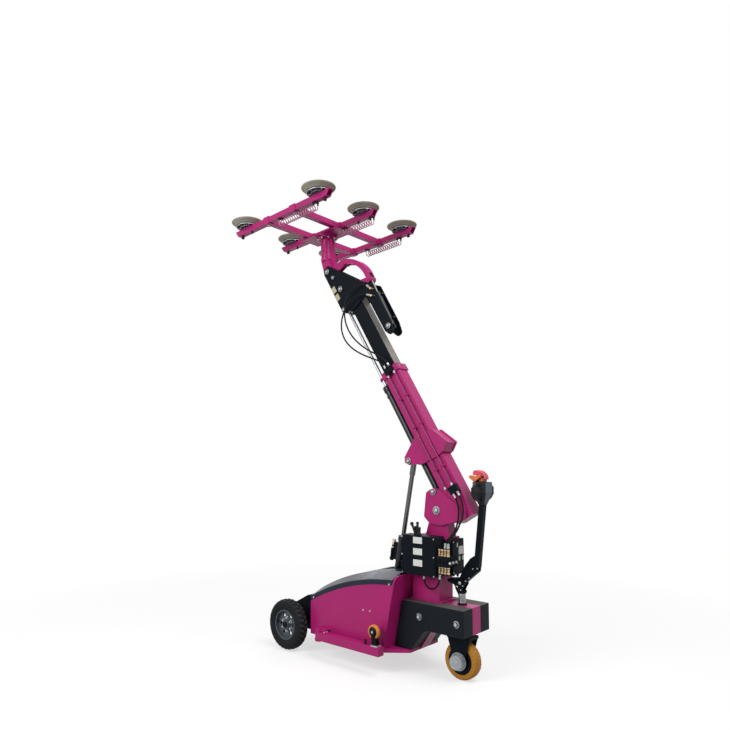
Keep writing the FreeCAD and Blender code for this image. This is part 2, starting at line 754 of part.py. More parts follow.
def front_wheels():
    """Two air-filled front wheels that run on a fixed axle."""
    nodes = {}
    half = FRONT_TYRE_WIDTH / 2
    depth = FRONT_TYRE_RADIUS - FRONT_RIM_RADIUS
    bead = half * TYRE_BEAD_SHARE
    wall_r = FRONT_RIM_RADIUS + depth * TYRE_WALL_SHARE
    shoulder_r = FRONT_RIM_RADIUS + depth * TYRE_SHOULDER_SHARE
    crown = half * TYRE_CROWN_SHARE
    for side, name in ((1, "left"), (-1, "right")):
        middle = side * FRONT_TRACK / 2
        outline = [(FRONT_RIM_RADIUS, -bead), (FRONT_RIM_RADIUS, bead), (wall_r, half), (shoulder_r, half),
                   (FRONT_TYRE_RADIUS, crown), (FRONT_TYRE_RADIUS, -crown), (shoulder_r, -half),
                   (wall_r, -half)]
        tyre = turned_y([(r, middle + y) for r, y in outline], FRONT_AXLE_X, FRONT_TYRE_RADIUS)
        nodes[name + "_front_tyre"] = tyre
        nodes[name + "_front_rim"] = front_rim(side, middle)
    return nodes


def front_rim(side, middle):
    """A dished rim with lightening holes, hub and wheel nuts."""
    x, z = FRONT_AXLE_X, FRONT_TYRE_RADIUS
    outer = FRONT_RIM_RADIUS - SEAT_GAP
    inner = outer - FRONT_RIM_WALL
    barrel_y = around(middle, FRONT_RIM_WIDTH / 2)
    barrel = cut(along_y(x, z, outer, barrel_y), along_y(x, z, inner, wider(barrel_y)))
    disc_centre = middle + side * FRONT_DISC_INSET
    disc_y = around(disc_centre, FRONT_DISC_THICKNESS / 2)
    disc = along_y(x, z, inner + FRONT_RIM_WALL / 2, disc_y)
    hub_y = around(middle, FRONT_HUB_LENGTH / 2)
    body = fuse(barrel, disc, along_y(x, z, FRONT_HUB_RADIUS, hub_y))
    tools = [along_y(x, z, FRONT_AXLE_RADIUS + SHAFT_PLAY, wider(hub_y))]
    nuts = []
    for i in range(RIM_HOLES):
        turn = 2 * math.pi * i / RIM_HOLES
        reach = inner * RIM_HOLE_CIRCLE_SHARE
        tools.append(along_y(x + reach * math.cos(turn), z + reach * math.sin(turn), RIM_HOLE_RADIUS,
                             wider(disc_y)))
        turn += math.pi / RIM_HOLES
        reach = inner * RIM_NUT_CIRCLE_SHARE
        outside = disc_centre + side * FRONT_DISC_THICKNESS / 2
        nut_y = tuple(sorted((outside, outside + side * RIM_NUT_HEIGHT)))
        nuts.append(along_y(x + reach * math.cos(turn), z + reach * math.sin(turn), RIM_NUT_RADIUS, nut_y))
    return Part.makeCompound([cut(body, *tools)] + nuts)


def front_axle_parts():
    """The black bracket in front of the tub and the axle through it."""
    outline = scaled(BRACKET_OUTLINE_SHARES, (BODY_FRONT_X, BODY_FLOOR_Z), (BRACKET_LENGTH, BRACKET_HEIGHT))
    inside = BRACKET_HALF_WIDTH - BRACKET_PLATE
    x, z = FRONT_AXLE_X, FRONT_TYRE_RADIUS
    pieces = []
    for side in (1, -1):
        pieces.append(plate(outline, on_side(side, inside, BRACKET_HALF_WIDTH)))
        pieces.append(along_y(x, z, BRACKET_BOSS_RADIUS,
                              on_side(side, inside - BRACKET_PLATE, BRACKET_HALF_WIDTH)))
    top = [outline[1], outline[2], outline[3]]
    lowered = [(px, pz - BRACKET_PLATE) for px, pz in reversed(top)]
    pieces.append(plate(top + lowered, around(0, inside)))
    back = [outline[0], outline[1], (outline[1][0] + BRACKET_PLATE, outline[1][1]),
            (outline[0][0] + BRACKET_PLATE, outline[0][1])]
    pieces.append(plate(back, around(0, inside)))
    bore = along_y(x, z, FRONT_AXLE_RADIUS + SHAFT_PLAY, wider(around(0, BRACKET_HALF_WIDTH)))
    bracket = cut(fuse(*pieces), bore)
    reach = FRONT_TRACK / 2 + FRONT_HUB_LENGTH / 2
    end = reach + SIDE_PLAY
    axle = along_y(x, z, FRONT_AXLE_RADIUS, around(0, end))
    caps = [along_y(x, z, FRONT_HUB_CAP_RADIUS, on_side(side, end, end + PIN_HEAD_HEIGHT))
            for side in (1, -1)]
    collars = [along_y(x, z, FRONT_HUB_CAP_RADIUS,
                       on_side(side, BRACKET_HALF_WIDTH, FRONT_TRACK / 2 - FRONT_HUB_LENGTH / 2 - SIDE_PLAY))
               for side in (1, -1)]
    return {"front_axle_bracket": Part.makeCompound([bracket, fuse(axle, *caps, *collars)])}


# Body

def rear_x(z):
    """Where the leaning rear wall of the tub lies at a height."""
    return BODY_REAR_X - (z - BODY_FLOOR_Z) * math.tan(math.radians(BODY_REAR_LEAN))


def crown_arc(lift, front_x, back_x):
    """The arched top line of the body, lifted by an amount, between two places along X."""
    front_z, middle_z, rear_z = (BODY_FLOOR_Z + h + lift
                                 for h in (PANEL_FRONT_HEIGHT, PANEL_MIDDLE_HEIGHT, PANEL_REAR_HEIGHT))
    rear = rear_x(BODY_FLOOR_Z + PANEL_REAR_HEIGHT) + BULKHEAD_THICKNESS
    arc = Part.Arc(V(BODY_FRONT_X, 0, front_z), V((BODY_FRONT_X + rear) / 2, 0, middle_z), V(rear, 0, rear_z))
    circle = arc.toShape().Curve
    centre, radius = circle.Center, circle.Radius

    def at(x):
        return V(x, 0, centre.z + math.sqrt(radius ** 2 - (x - centre.x) ** 2))

    return Part.Arc(at(front_x), at((front_x + back_x) / 2), at(back_x)).toShape()


def crown_wire(low_lift, high_lift, front_x, back_x, y):
    """An upright outline between two lifted top lines, at a place across the machine."""
    low, high = crown_arc(low_lift, front_x, back_x), crown_arc(high_lift, front_x, back_x)
    ends = [(edge.valueAt(edge.FirstParameter), edge.valueAt(edge.LastParameter)) for edge in (low, high)]
    wire = Part.Wire([low, Part.makeLine(ends[0][1], ends[1][1]), high,
                      Part.makeLine(ends[1][0], ends[0][0])])
    wire.translate(V(0, y, 0))
    return wire


def crown_solid(seat, band, depth, front_x, back_x, half):
    """A block under the arched top line with a sloped shoulder along each side."""
    flat = half - HOOD_SHOULDER
    pieces = [Part.Face(crown_wire(seat, depth, front_x, back_x, -flat)).extrude(V(0, 2 * flat, 0))]
    for side in (1, -1):
        wires = [crown_wire(seat, lift, front_x, back_x, side * y)
                 for lift, y in ((depth, flat), (band, half))]
        pieces.append(Part.makeLoft(wires, True, True))
    return fuse(*pieces)


def side_panel(side):
    """A flat side panel with the arched top edge."""
    top_z = BODY_FLOOR_Z + PANEL_REAR_HEIGHT
    back_x = rear_x(top_z) + BULKHEAD_THICKNESS
    low_x = rear_x(BODY_FLOOR_Z) + BULKHEAD_THICKNESS
    top = crown_arc(0, BODY_FRONT_X, back_x)
    front_top, rear_top = top.valueAt(top.FirstParameter), top.valueAt(top.LastParameter)
    front_low, rear_low = V(BODY_FRONT_X, 0, BODY_FLOOR_Z), V(low_x, 0, BODY_FLOOR_Z)
    wire = Part.Wire([top, Part.makeLine(rear_top, rear_low), Part.makeLine(rear_low, front_low),
                      Part.makeLine(front_low, front_top)])
    pair = on_side(side, BODY_HALF_WIDTH - PANEL_THICKNESS, BODY_HALF_WIDTH)
    face = Part.Face(wire)
    face.translate(V(0, pair[0], 0))
    return face.extrude(V(0, pair[1] - pair[0], 0))


def tail_outline(foot_z):
    """Side outline of the tail, with the wheel arch under it."""
    return [(TAIL_X, TAIL_LOW_Z), (TAIL_X, TAIL_TOP_Z), (rear_x(TAIL_TOP_Z), TAIL_TOP_Z),
            (rear_x(foot_z), foot_z), (ARCH_FOOT_X, foot_z), (ARCH_CROWN_X, TAIL_LOW_Z)]


def arched_tail(foot_z, y):
    """The tail outline with its arch rounded, as thick as a Y pair."""
    block = plate(tail_outline(foot_z), y)
    edges = [e for e in block.Edges
             if abs(e.CenterOfMass.x - ARCH_CROWN_X) < OVERRUN
             and abs(e.CenterOfMass.z - TAIL_LOW_Z) < OVERRUN]
    return block.makeFillet(ARCH_RADIUS, edges)


def chassis():
    """The welded tub with its tail beam, and the clevis of the luffing cylinder."""
    inside = BODY_HALF_WIDTH - PANEL_THICKNESS
    floor_top = BODY_FLOOR_Z + BODY_FLOOR
    floor = box((rear_x(BODY_FLOOR_Z), BODY_FRONT_X), around(0, inside), (BODY_FLOOR_Z, floor_top))
    top_z = BODY_FLOOR_Z + BULKHEAD_HEIGHT
    wall = [(rear_x(BODY_FLOOR_Z), BODY_FLOOR_Z), (rear_x(top_z), top_z),
            (rear_x(top_z) + BULKHEAD_THICKNESS, top_z),
            (rear_x(BODY_FLOOR_Z) + BULKHEAD_THICKNESS, BODY_FLOOR_Z)]
    bulkhead = plate(wall, around(0, BODY_HALF_WIDTH))
    corner_x, corner_z = (rear_x(top_z) - OVERRUN, BODY_REAR_X), top_z - BULKHEAD_CORNER
    near = BODY_HALF_WIDTH - BULKHEAD_CORNER
    corners = [cut(box(corner_x, on_side(side, near, BODY_HALF_WIDTH + OVERRUN), (corner_z, top_z + OVERRUN)),
                   along_x(side * near, corner_z, BULKHEAD_CORNER, wider(corner_x))) for side in (1, -1)]
    front = box((BODY_FRONT_X - BODY_FLOOR, BODY_FRONT_X), around(0, inside),
                (BODY_FLOOR_Z, BODY_FLOOR_Z + PANEL_FRONT_HEIGHT))
    tail = arched_tail(BODY_FLOOR_Z, around(0, TAIL_HALF_WIDTH))
    ledge_points = [V(px, py, BODY_FLOOR_Z) for px, py in (
        (rear_x(BODY_FLOOR_Z), BODY_HALF_WIDTH), (ARCH_FOOT_X, WEIGHT_HALF_WIDTH),
        (ARCH_FOOT_X, -WEIGHT_HALF_WIDTH), (rear_x(BODY_FLOOR_Z), -BODY_HALF_WIDTH))]
    ledge = Part.Face(Part.makePolygon(ledge_points + ledge_points[:1])).extrude(V(0, 0, TAIL_LEDGE))
    bore = along_z(STEER_X, 0, STEER_SHAFT_RADIUS + SHAFT_PLAY, wider((TAIL_LOW_Z, TAIL_TOP_Z)))
    pieces = [bulkhead, front, tail, ledge]
    near = LUFF_EYE_HALF_WIDTH + CLEVIS_GAP
    for side in (1, -1):
        pair = on_side(side, near, near + CLEVIS_PLATE)
        pieces.append(box(around(LUFF_BASE_X, CLEVIS_HALF_LENGTH), pair, (BODY_FLOOR_Z, LUFF_BASE_Z)))
        pieces.append(along_y(LUFF_BASE_X, LUFF_BASE_Z, CLEVIS_HALF_LENGTH, pair))
        pieces.append(along_y(LUFF_BASE_X, LUFF_BASE_Z, LUFF_PIN_RADIUS,
                              on_side(side, near, near + CLEVIS_PLATE + PIN_HEAD_HEIGHT)))
    return cut(fuse(floor, *pieces), bore, *corners)


def hood():
    """The arched cover with sloped shoulders and a slot for the luffing cylinder."""
    back = rear_x(BODY_FLOOR_Z + PANEL_REAR_HEIGHT) + BULKHEAD_THICKNESS
    outer = crown_solid(HOOD_SEAT, HOOD_BAND, HOOD_DEPTH, BODY_FRONT_X, back, BODY_HALF_WIDTH)
    inner = crown_solid(HOOD_SEAT - OVERRUN, HOOD_BAND - HOOD_WALL, HOOD_DEPTH - HOOD_WALL,
                        BODY_FRONT_X - HOOD_WALL, back + HOOD_WALL, BODY_HALF_WIDTH - HOOD_WALL)
    slot = box(around(LUFF_BASE_X - HOOD_SLOT_SETBACK, HOOD_SLOT_LENGTH / 2), around(0, HOOD_SLOT_WIDTH / 2),
               (BODY_FLOOR_Z, BODY_FLOOR_Z + BULKHEAD_HEIGHT + HOOD_DEPTH))
    return cut(outer, inner, slot)


def counterweights():
    """Two cast slabs bolted to the tail beam, each with its two bolt heads."""
    nodes = {}
    for side, name in ((1, "left"), (-1, "right")):
        slab = arched_tail(BODY_FLOOR_Z + TAIL_LEDGE, on_side(side, TAIL_HALF_WIDTH, WEIGHT_HALF_WIDTH))
        outer_edges = [e for e in slab.Edges if abs(abs(e.BoundBox.YMin) - WEIGHT_HALF_WIDTH) < SEAT_GAP
                       and e.BoundBox.YLength < SEAT_GAP]
        slab = slab.makeChamfer(WEIGHT_EDGE, outer_edges)
        bolts = []
        for x in WEIGHT_BOLT_XS:
            z = TAIL_TOP_Z - WEIGHT_BOLT_DROP
            washer = WEIGHT_HALF_WIDTH + BOLT_WASHER_HEIGHT
            bolts.append(fuse(along_y(x, z, BOLT_WASHER_RADIUS, on_side(side, WEIGHT_HALF_WIDTH, washer)),
                              along_y(x, z, BOLT_HEAD_RADIUS, on_side(side, WEIGHT_HALF_WIDTH,
                                                                      washer + BOLT_HEAD_HEIGHT))))
        nodes[name + "_counterweight"] = Part.makeCompound([slab] + bolts)
    return nodes


def mast():
    """The box column, its top plate, the pedestal and the boom's pivot pin."""
    x = around(MAST_X, MAST_LENGTH / 2)
    y = around(0, MAST_HALF_WIDTH)
    inner_x, inner_y = wider(x, -MAST_WALL), wider(y, -MAST_WALL)
    foot_top = TAIL_TOP_Z + MAST_PLATE
    column = cut(box(x, y, (TAIL_TOP_Z, MAST_TOP_Z)), box(inner_x, inner_y, (foot_top, MAST_TOP_Z + OVERRUN)))
    foot = box(wider(x, MAST_FOOT_MARGIN), y, (TAIL_TOP_Z, foot_top))
    centre = PIVOT_X + PEDESTAL_OFFSET
    deck_z = MAST_TOP_Z + MAST_PLATE
    stand_x = around(centre, PEDESTAL_LENGTH / 2)
    deck = box((stand_x[0], x[1]), y, (MAST_TOP_Z, deck_z))
    crown = PEDESTAL_CROWN_RADIUS
    outline = [(stand_x[0], deck_z), (PIVOT_X - crown, PIVOT_Z), (PIVOT_X + crown, PIVOT_Z),
               (stand_x[1], deck_z)]
    stand_y = around(0, PEDESTAL_HALF_WIDTH)
    stand = fuse(plate(outline, stand_y), along_y(PIVOT_X, PIVOT_Z, crown, stand_y))
    hollow = box(wider(stand_x, -PEDESTAL_WALL - crown / 2), wider(stand_y, -PEDESTAL_WALL),
                 (deck_z, PIVOT_Z - crown))
    bushes = [along_y(PIVOT_X, PIVOT_Z, PEDESTAL_BUSH_RADIUS,
                      on_side(side, PEDESTAL_HALF_WIDTH, OUTER_HALF_WIDTH - SEAT_GAP)) for side in (1, -1)]
    outside = OUTER_HALF_WIDTH + SIDE_PLATE + SEAT_GAP
    pin = fuse(along_y(PIVOT_X, PIVOT_Z, PIVOT_PIN_RADIUS, around(0, outside)),
               *[along_y(PIVOT_X, PIVOT_Z, PIVOT_HEAD_RADIUS,
                         on_side(side, outside, outside + PIVOT_HEAD_HEIGHT))
                 for side in (1, -1)])
    bore = along_y(PIVOT_X, PIVOT_Z, PIVOT_PIN_RADIUS + SHAFT_PLAY, wider(around(0, OUTER_HALF_WIDTH)))
    body = cut(fuse(column, foot, deck, cut(stand, hollow), *bushes), bore)
    return {"mast_column": Part.makeCompound([body, pin])}


def mast_boxes():
    """Control box with its cover, valve bank with fittings and the rear electrical box."""
    control_x = around(CONTROL_X, CONTROL_LENGTH / 2)
    control_z = (CONTROL_LOW_Z, CONTROL_LOW_Z + CONTROL_HEIGHT)
    open_y = MAST_HALF_WIDTH + CONTROL_DEPTH
    shell = box(control_x, (MAST_HALF_WIDTH, open_y), control_z)
    room = box(wider(control_x, -CONTROL_WALL), (MAST_HALF_WIDTH + CONTROL_WALL, open_y + OVERRUN),
               wider(control_z, -CONTROL_WALL))
    cover = box(wider(control_x, -CONTROL_COVER_MARGIN / 2), (open_y, open_y + CONTROL_COVER),
                wider(control_z, -CONTROL_COVER_MARGIN / 2))
    valve_x = around(VALVE_X, VALVE_LENGTH / 2)
    valve_y = (MAST_HALF_WIDTH - VALVE_HANGER, MAST_HALF_WIDTH + VALVE_DEPTH)
    valve_z = (VALVE_LOW_Z, VALVE_LOW_Z + VALVE_HEIGHT)
    hanger = box((valve_x[0], MAST_X - MAST_LENGTH / 2), (valve_y[0], MAST_HALF_WIDTH), valve_z)
    block = fuse(box(valve_x, (MAST_HALF_WIDTH, valve_y[1]), valve_z), hanger)
    fittings = []
    for i in range(VALVE_SPOOLS):
        x = valve_x[0] + VALVE_LENGTH * (i + 0.5) / VALVE_SPOOLS
        y = valve_y[1] - VALVE_DEPTH / VALVE_SPOOLS
        fittings.append(along_z(x, y, VALVE_FITTING_RADIUS, (valve_z[1], valve_z[1] + VALVE_FITTING_HEIGHT)))
        fittings.append(along_z(x, y, VALVE_FITTING_RADIUS, (valve_z[0] - VALVE_FITTING_HEIGHT, valve_z[0])))
        fittings.append(along_y(x, sum(valve_z) / 2, VALVE_NUT_RADIUS,
                                (valve_y[1], valve_y[1] + VALVE_NUT_HEIGHT)))
    back = MAST_X - MAST_LENGTH / 2
    electric = box((back - ELECTRIC_LENGTH, back), around(ELECTRIC_OFFSET, ELECTRIC_HALF_WIDTH),
                   (ELECTRIC_LOW_Z, ELECTRIC_LOW_Z + ELECTRIC_HEIGHT))
    return {"control_box": Part.makeCompound([cut(shell, room), cover]),
            "valve_block": Part.makeCompound([block] + fittings), "electrical_box": cut(electric, block)}


def inner_units():
    """Battery, hydraulic power pack and vacuum pump on the tub floor."""
    floor = BODY_FLOOR_Z + BODY_FLOOR
    top = floor + BATTERY_HEIGHT
    case = box(around(BATTERY_X, BATTERY_LENGTH / 2), around(0, BATTERY_WIDTH / 2), (floor, top))
    posts = [along_z(BATTERY_X, side * BATTERY_TERMINAL_Y, BATTERY_TERMINAL_RADIUS,
                     (top, top + BATTERY_TERMINAL_HEIGHT)) for side in (1, -1)]
    tank_top = floor + PACK_TANK_HEIGHT
    tank = box(around(PACK_X, PACK_TANK_LENGTH / 2), around(PACK_Y, PACK_TANK_WIDTH / 2), (floor, tank_top))
    motor = along_z(PACK_X, PACK_Y, PACK_MOTOR_RADIUS, (tank_top, tank_top + PACK_MOTOR_HEIGHT))
    pump_top = floor + PUMP_HEIGHT
    pump = box(around(PACK_X, PUMP_LENGTH / 2), around(PUMP_Y, PUMP_WIDTH / 2), (floor, pump_top))
    head = along_x(PUMP_Y, pump_top, PUMP_HEAD_RADIUS, around(PACK_X, PUMP_HEAD_LENGTH / 2))
    return {"battery_pack": fuse(case, *posts), "hydraulic_power_pack": fuse(tank, motor),
            "vacuum_pump_unit": fuse(pump, head)}


# Steering and tiller

def drive_unit():
    """The steered fork with its hub motor, and the drive wheel in it."""
    x, z = STEER_X, DRIVE_TYRE_RADIUS
    inside = DRIVE_TYRE_WIDTH / 2 + FORK_SIDE_GAP
    outside = inside + FORK_PLATE
    top = (FORK_TOP_Z - FORK_TOP_PLATE, FORK_TOP_Z)
    pieces = [box(around(x, FORK_LENGTH / 2), around(0, outside), top)]
    for side in (1, -1):
        pair = on_side(side, inside, outside)
        outline = [(x - FORK_LENGTH / 2, top[1]), (x + FORK_LENGTH / 2, top[1]),
                   (x + FORK_LEG_HALF_LENGTH, z), (x - FORK_LEG_HALF_LENGTH, z)]
        pieces += [plate(outline, pair), along_y(x, z, FORK_LEG_HALF_LENGTH, pair)]
    pieces.append(along_y(x, z, DRIVE_AXLE_RADIUS, around(0, outside)))
    fork = fuse(*pieces)
    motor = fuse(along_y(x, z, HUB_FLANGE_RADIUS, (outside, outside + HUB_FLANGE)),
                 along_y(x, z, HUB_MOTOR_RADIUS, (outside, outside + HUB_MOTOR_LENGTH)))
    half = DRIVE_TYRE_WIDTH / 2
    core_r = DRIVE_CORE_RADIUS - SEAT_GAP
    bore = DRIVE_AXLE_RADIUS + SHAFT_PLAY
    rim_r = (core_r + DRIVE_HUB_RADIUS) / 2
    core = turned_y([(bore, -half), (DRIVE_HUB_RADIUS, -half), (DRIVE_HUB_RADIUS, -DRIVE_WEB / 2),
                     (rim_r, -DRIVE_WEB / 2), (rim_r, -half), (core_r, -half), (core_r, half), (rim_r, half),
                     (rim_r, DRIVE_WEB / 2), (DRIVE_HUB_RADIUS, DRIVE_WEB / 2), (DRIVE_HUB_RADIUS, half),
                     (bore, half)], x, z)
    flank = [(DRIVE_TYRE_RADIUS - DRIVE_TYRE_ROUND * down, half - DRIVE_TYRE_ROUND * across)
             for down, across in DRIVE_ROUND_SHARES]
    tyre = turned_y([(DRIVE_CORE_RADIUS, -half), (DRIVE_CORE_RADIUS, half)] + flank
                    + [(r, -across) for r, across in reversed(flank)], x, z)
    return {"steering_fork": fork, "hub_motor": motor, "drive_wheel_core": core, "drive_tyre": tyre}


def steering_column():
    """The upright shaft through the tail beam, and the tiller's bracket with its gas strut on top of it."""
    shaft = fuse(along_z(STEER_X, 0, STEER_SHAFT_RADIUS, (FORK_TOP_Z, STEER_SHAFT_TOP_Z)),
                 along_z(STEER_X, 0, STEER_COLLAR_RADIUS, (TAIL_TOP_Z + SEAT_GAP,
                                                           TAIL_TOP_Z + SEAT_GAP + STEER_COLLAR_HEIGHT)),
                 along_z(STEER_X, 0, STEER_COLLAR_RADIUS, (FORK_TOP_Z, TAIL_LOW_Z - SEAT_GAP)))
    near = TILLER_ARM_SIZE / 2 + SIDE_PLAY
    base_low = STEER_SHAFT_TOP_Z - TILLER_CHEEK
    pieces = [along_z(STEER_X, 0, STEER_COLLAR_RADIUS, (base_low, STEER_SHAFT_TOP_Z + TILLER_CHEEK))]
    for side in (1, -1):
        pair = on_side(side, near, near + TILLER_CHEEK)
        hub = (STEER_X, STEER_SHAFT_TOP_Z)
        pieces.append(link_plate((TILLER_PIN_X, TILLER_PIN_Z), (TILLER_TOE_X, TILLER_TOE_Z),
                                 TILLER_CHEEK_RADIUS, TILLER_TOE_RADIUS, pair))
        pieces.append(link_plate(hub, (TILLER_PIN_X, TILLER_PIN_Z), TILLER_CHEEK, TILLER_CHEEK_RADIUS, pair))
    pieces.append(box((TILLER_TOE_X - TILLER_TOE_RADIUS, TILLER_TOE_X), around(0, near),
                      around(TILLER_TOE_Z, TILLER_TOE_RADIUS)))
    low, high = V(STEER_X, 0, STRUT_LOW_Z), V(TILLER_TOE_X - TILLER_TOE_RADIUS, 0, TILLER_TOE_Z)
    middle = low.add(high.sub(low) * STRUT_TUBE_SHARE)
    pieces += [bar(low, middle, STRUT_TUBE_RADIUS), bar(middle, high, STRUT_ROD_RADIUS)]
    shaft_room = along_z(STEER_X, 0, STEER_SHAFT_RADIUS + SEAT_GAP, (TAIL_TOP_Z, STEER_SHAFT_TOP_Z))
    sweep = along_y(TILLER_PIN_X, TILLER_PIN_Z, TILLER_EYE_RADIUS + SIDE_PLAY * 2, around(0, near))
    pin = along_y(TILLER_PIN_X, TILLER_PIN_Z, TILLER_PIN_RADIUS, around(0, near + TILLER_CHEEK * 2))
    bracket = fuse(cut(fuse(*pieces), shaft_room, sweep), pin)
    return {"steering_shaft": Part.makeCompound([shaft, bracket])}


def tiller():
    """The leaning arm on its gusseted foot."""
    half = TILLER_ARM_SIZE / 2
    y = around(0, half)
    pin = (TILLER_PIN_X, TILLER_PIN_Z)
    tube = cut(tiller_tube(half, y), tiller_tube(half - TILLER_WALL, wider(y, -TILLER_WALL)))
    outline = scaled(TILLER_FOOT_SHARES, pin, (TILLER_FOOT_LENGTH, TILLER_FOOT_HEIGHT))
    sides = [plate(outline, on_side(side, half - TILLER_CHEEK, half), TILLER_FOOT_CORNER) for side in (1, -1)]
    edge = outline[4:6]
    web = plate(edge + [(px, pz + TILLER_CHEEK) for px, pz in reversed(edge)], y)
    bore = along_y(*pin, TILLER_PIN_RADIUS + SHAFT_PLAY, wider(y))
    arm = cut(fuse(tube, *sides, web, along_y(*pin, TILLER_EYE_RADIUS, y)), bore)
    return {"tiller_arm": arm, **tiller_head()}


def tiller_tube(half, y):
    """The arm's bar from its knee to its leaning top."""
    return plate([(TILLER_KNEE_X - half, TILLER_KNEE_Z), (TILLER_KNEE_X + half, TILLER_KNEE_Z),
                  (TILLER_TOP_X + half, TILLER_TOP_Z), (TILLER_TOP_X - half, TILLER_TOP_Z)], y)


def tiller_head():
    """The control head with a handle on each side, the throttle wings and the reversing button."""
    taper_z, shoulder_z = TILLER_TOP_Z + HEAD_BOX_TAPER, TILLER_TOP_Z + HEAD_BOX_SHOULDER
    top_z = shoulder_z + HEAD_NECK_HEIGHT
    foot = level_outline(around(TILLER_TOP_X, HEAD_BOX_FOOT_LENGTH / 2), around(0, HEAD_BOX_FOOT_HALF_WIDTH),
                         TILLER_TOP_Z, HEAD_BOX_ROUND)
    full = level_outline(around(HEAD_BOX_X, HEAD_BOX_LENGTH / 2), around(0, HEAD_BOX_HALF_WIDTH), taper_z,
                         HEAD_BOX_ROUND)
    neck = level_outline(around(HEAD_NECK_X, HEAD_NECK_LENGTH / 2), around(0, HEAD_NECK_HALF_WIDTH),
                         shoulder_z, HEAD_BOX_ROUND)
    pieces = [Part.makeLoft([foot, full], True, True), Part.Face(full).extrude(V(0, 0, shoulder_z - taper_z)),
              Part.Face(neck).extrude(V(0, 0, HEAD_NECK_HEIGHT))]
    for side in (1, -1):
        route = scaled(LOOP_SHARES, (0, TILLER_TOP_Z), (side * LOOP_REACH, LOOP_HEIGHT))
        pieces.append(bent_bar([V(HEAD_BOX_X, py, pz) for py, pz in route], LOOP_RADIUS)[0])
    grip = (HEAD_NECK_X + THROTTLE_ADVANCE, shoulder_z + THROTTLE_RISE)
    stem_x, stem_low = HEAD_NECK_X - BUTTON_STEM_SETBACK, top_z - BUTTON_STEM_DEPTH
    head = cut(fuse(*pieces),
               along_y(*grip, THROTTLE_RADIUS + SHAFT_PLAY, wider(around(0, HEAD_NECK_HALF_WIDTH))),
               along_z(stem_x, 0, BUTTON_STEM_RADIUS + SHAFT_PLAY,
                       (stem_low - BUTTON_TRAVEL - SEAT_GAP, top_z + OVERRUN)))
    cap_low = top_z + BUTTON_TRAVEL + SEAT_GAP
    cap = box(around(HEAD_NECK_X, BUTTON_HALF_LENGTH), around(0, BUTTON_HALF_WIDTH),
              (cap_low, cap_low + BUTTON_HEIGHT))
    cap = cap.makeFillet(BUTTON_ROUND, [e for e in cap.Edges if e.BoundBox.ZMax > cap_low + SEAT_GAP])
    button = fuse(cap, along_z(stem_x, 0, BUTTON_STEM_RADIUS, (stem_low, cap_low + BUTTON_HEIGHT / 2)))
    near = HEAD_NECK_HALF_WIDTH + THROTTLE_SIDE_GAP
    wings = [along_y(*grip, THROTTLE_RADIUS, around(0, near + THROTTLE_WING_WIDTH / 2))]
    for side in (1, -1):
        pair = on_side(side, near, near + THROTTLE_WING_WIDTH)
        for way in (1, -1):
            tip = (grip[0] + way * THROTTLE_WING_REACH, grip[1] + THROTTLE_WING_RISE)
            wings.append(link_plate(grip, tip, THROTTLE_HUB_RADIUS, THROTTLE_WING_TIP, pair))
    return {"tiller_head": head, "reverse_button": button, "throttle_butterfly": fuse(*wings)}


# Boom

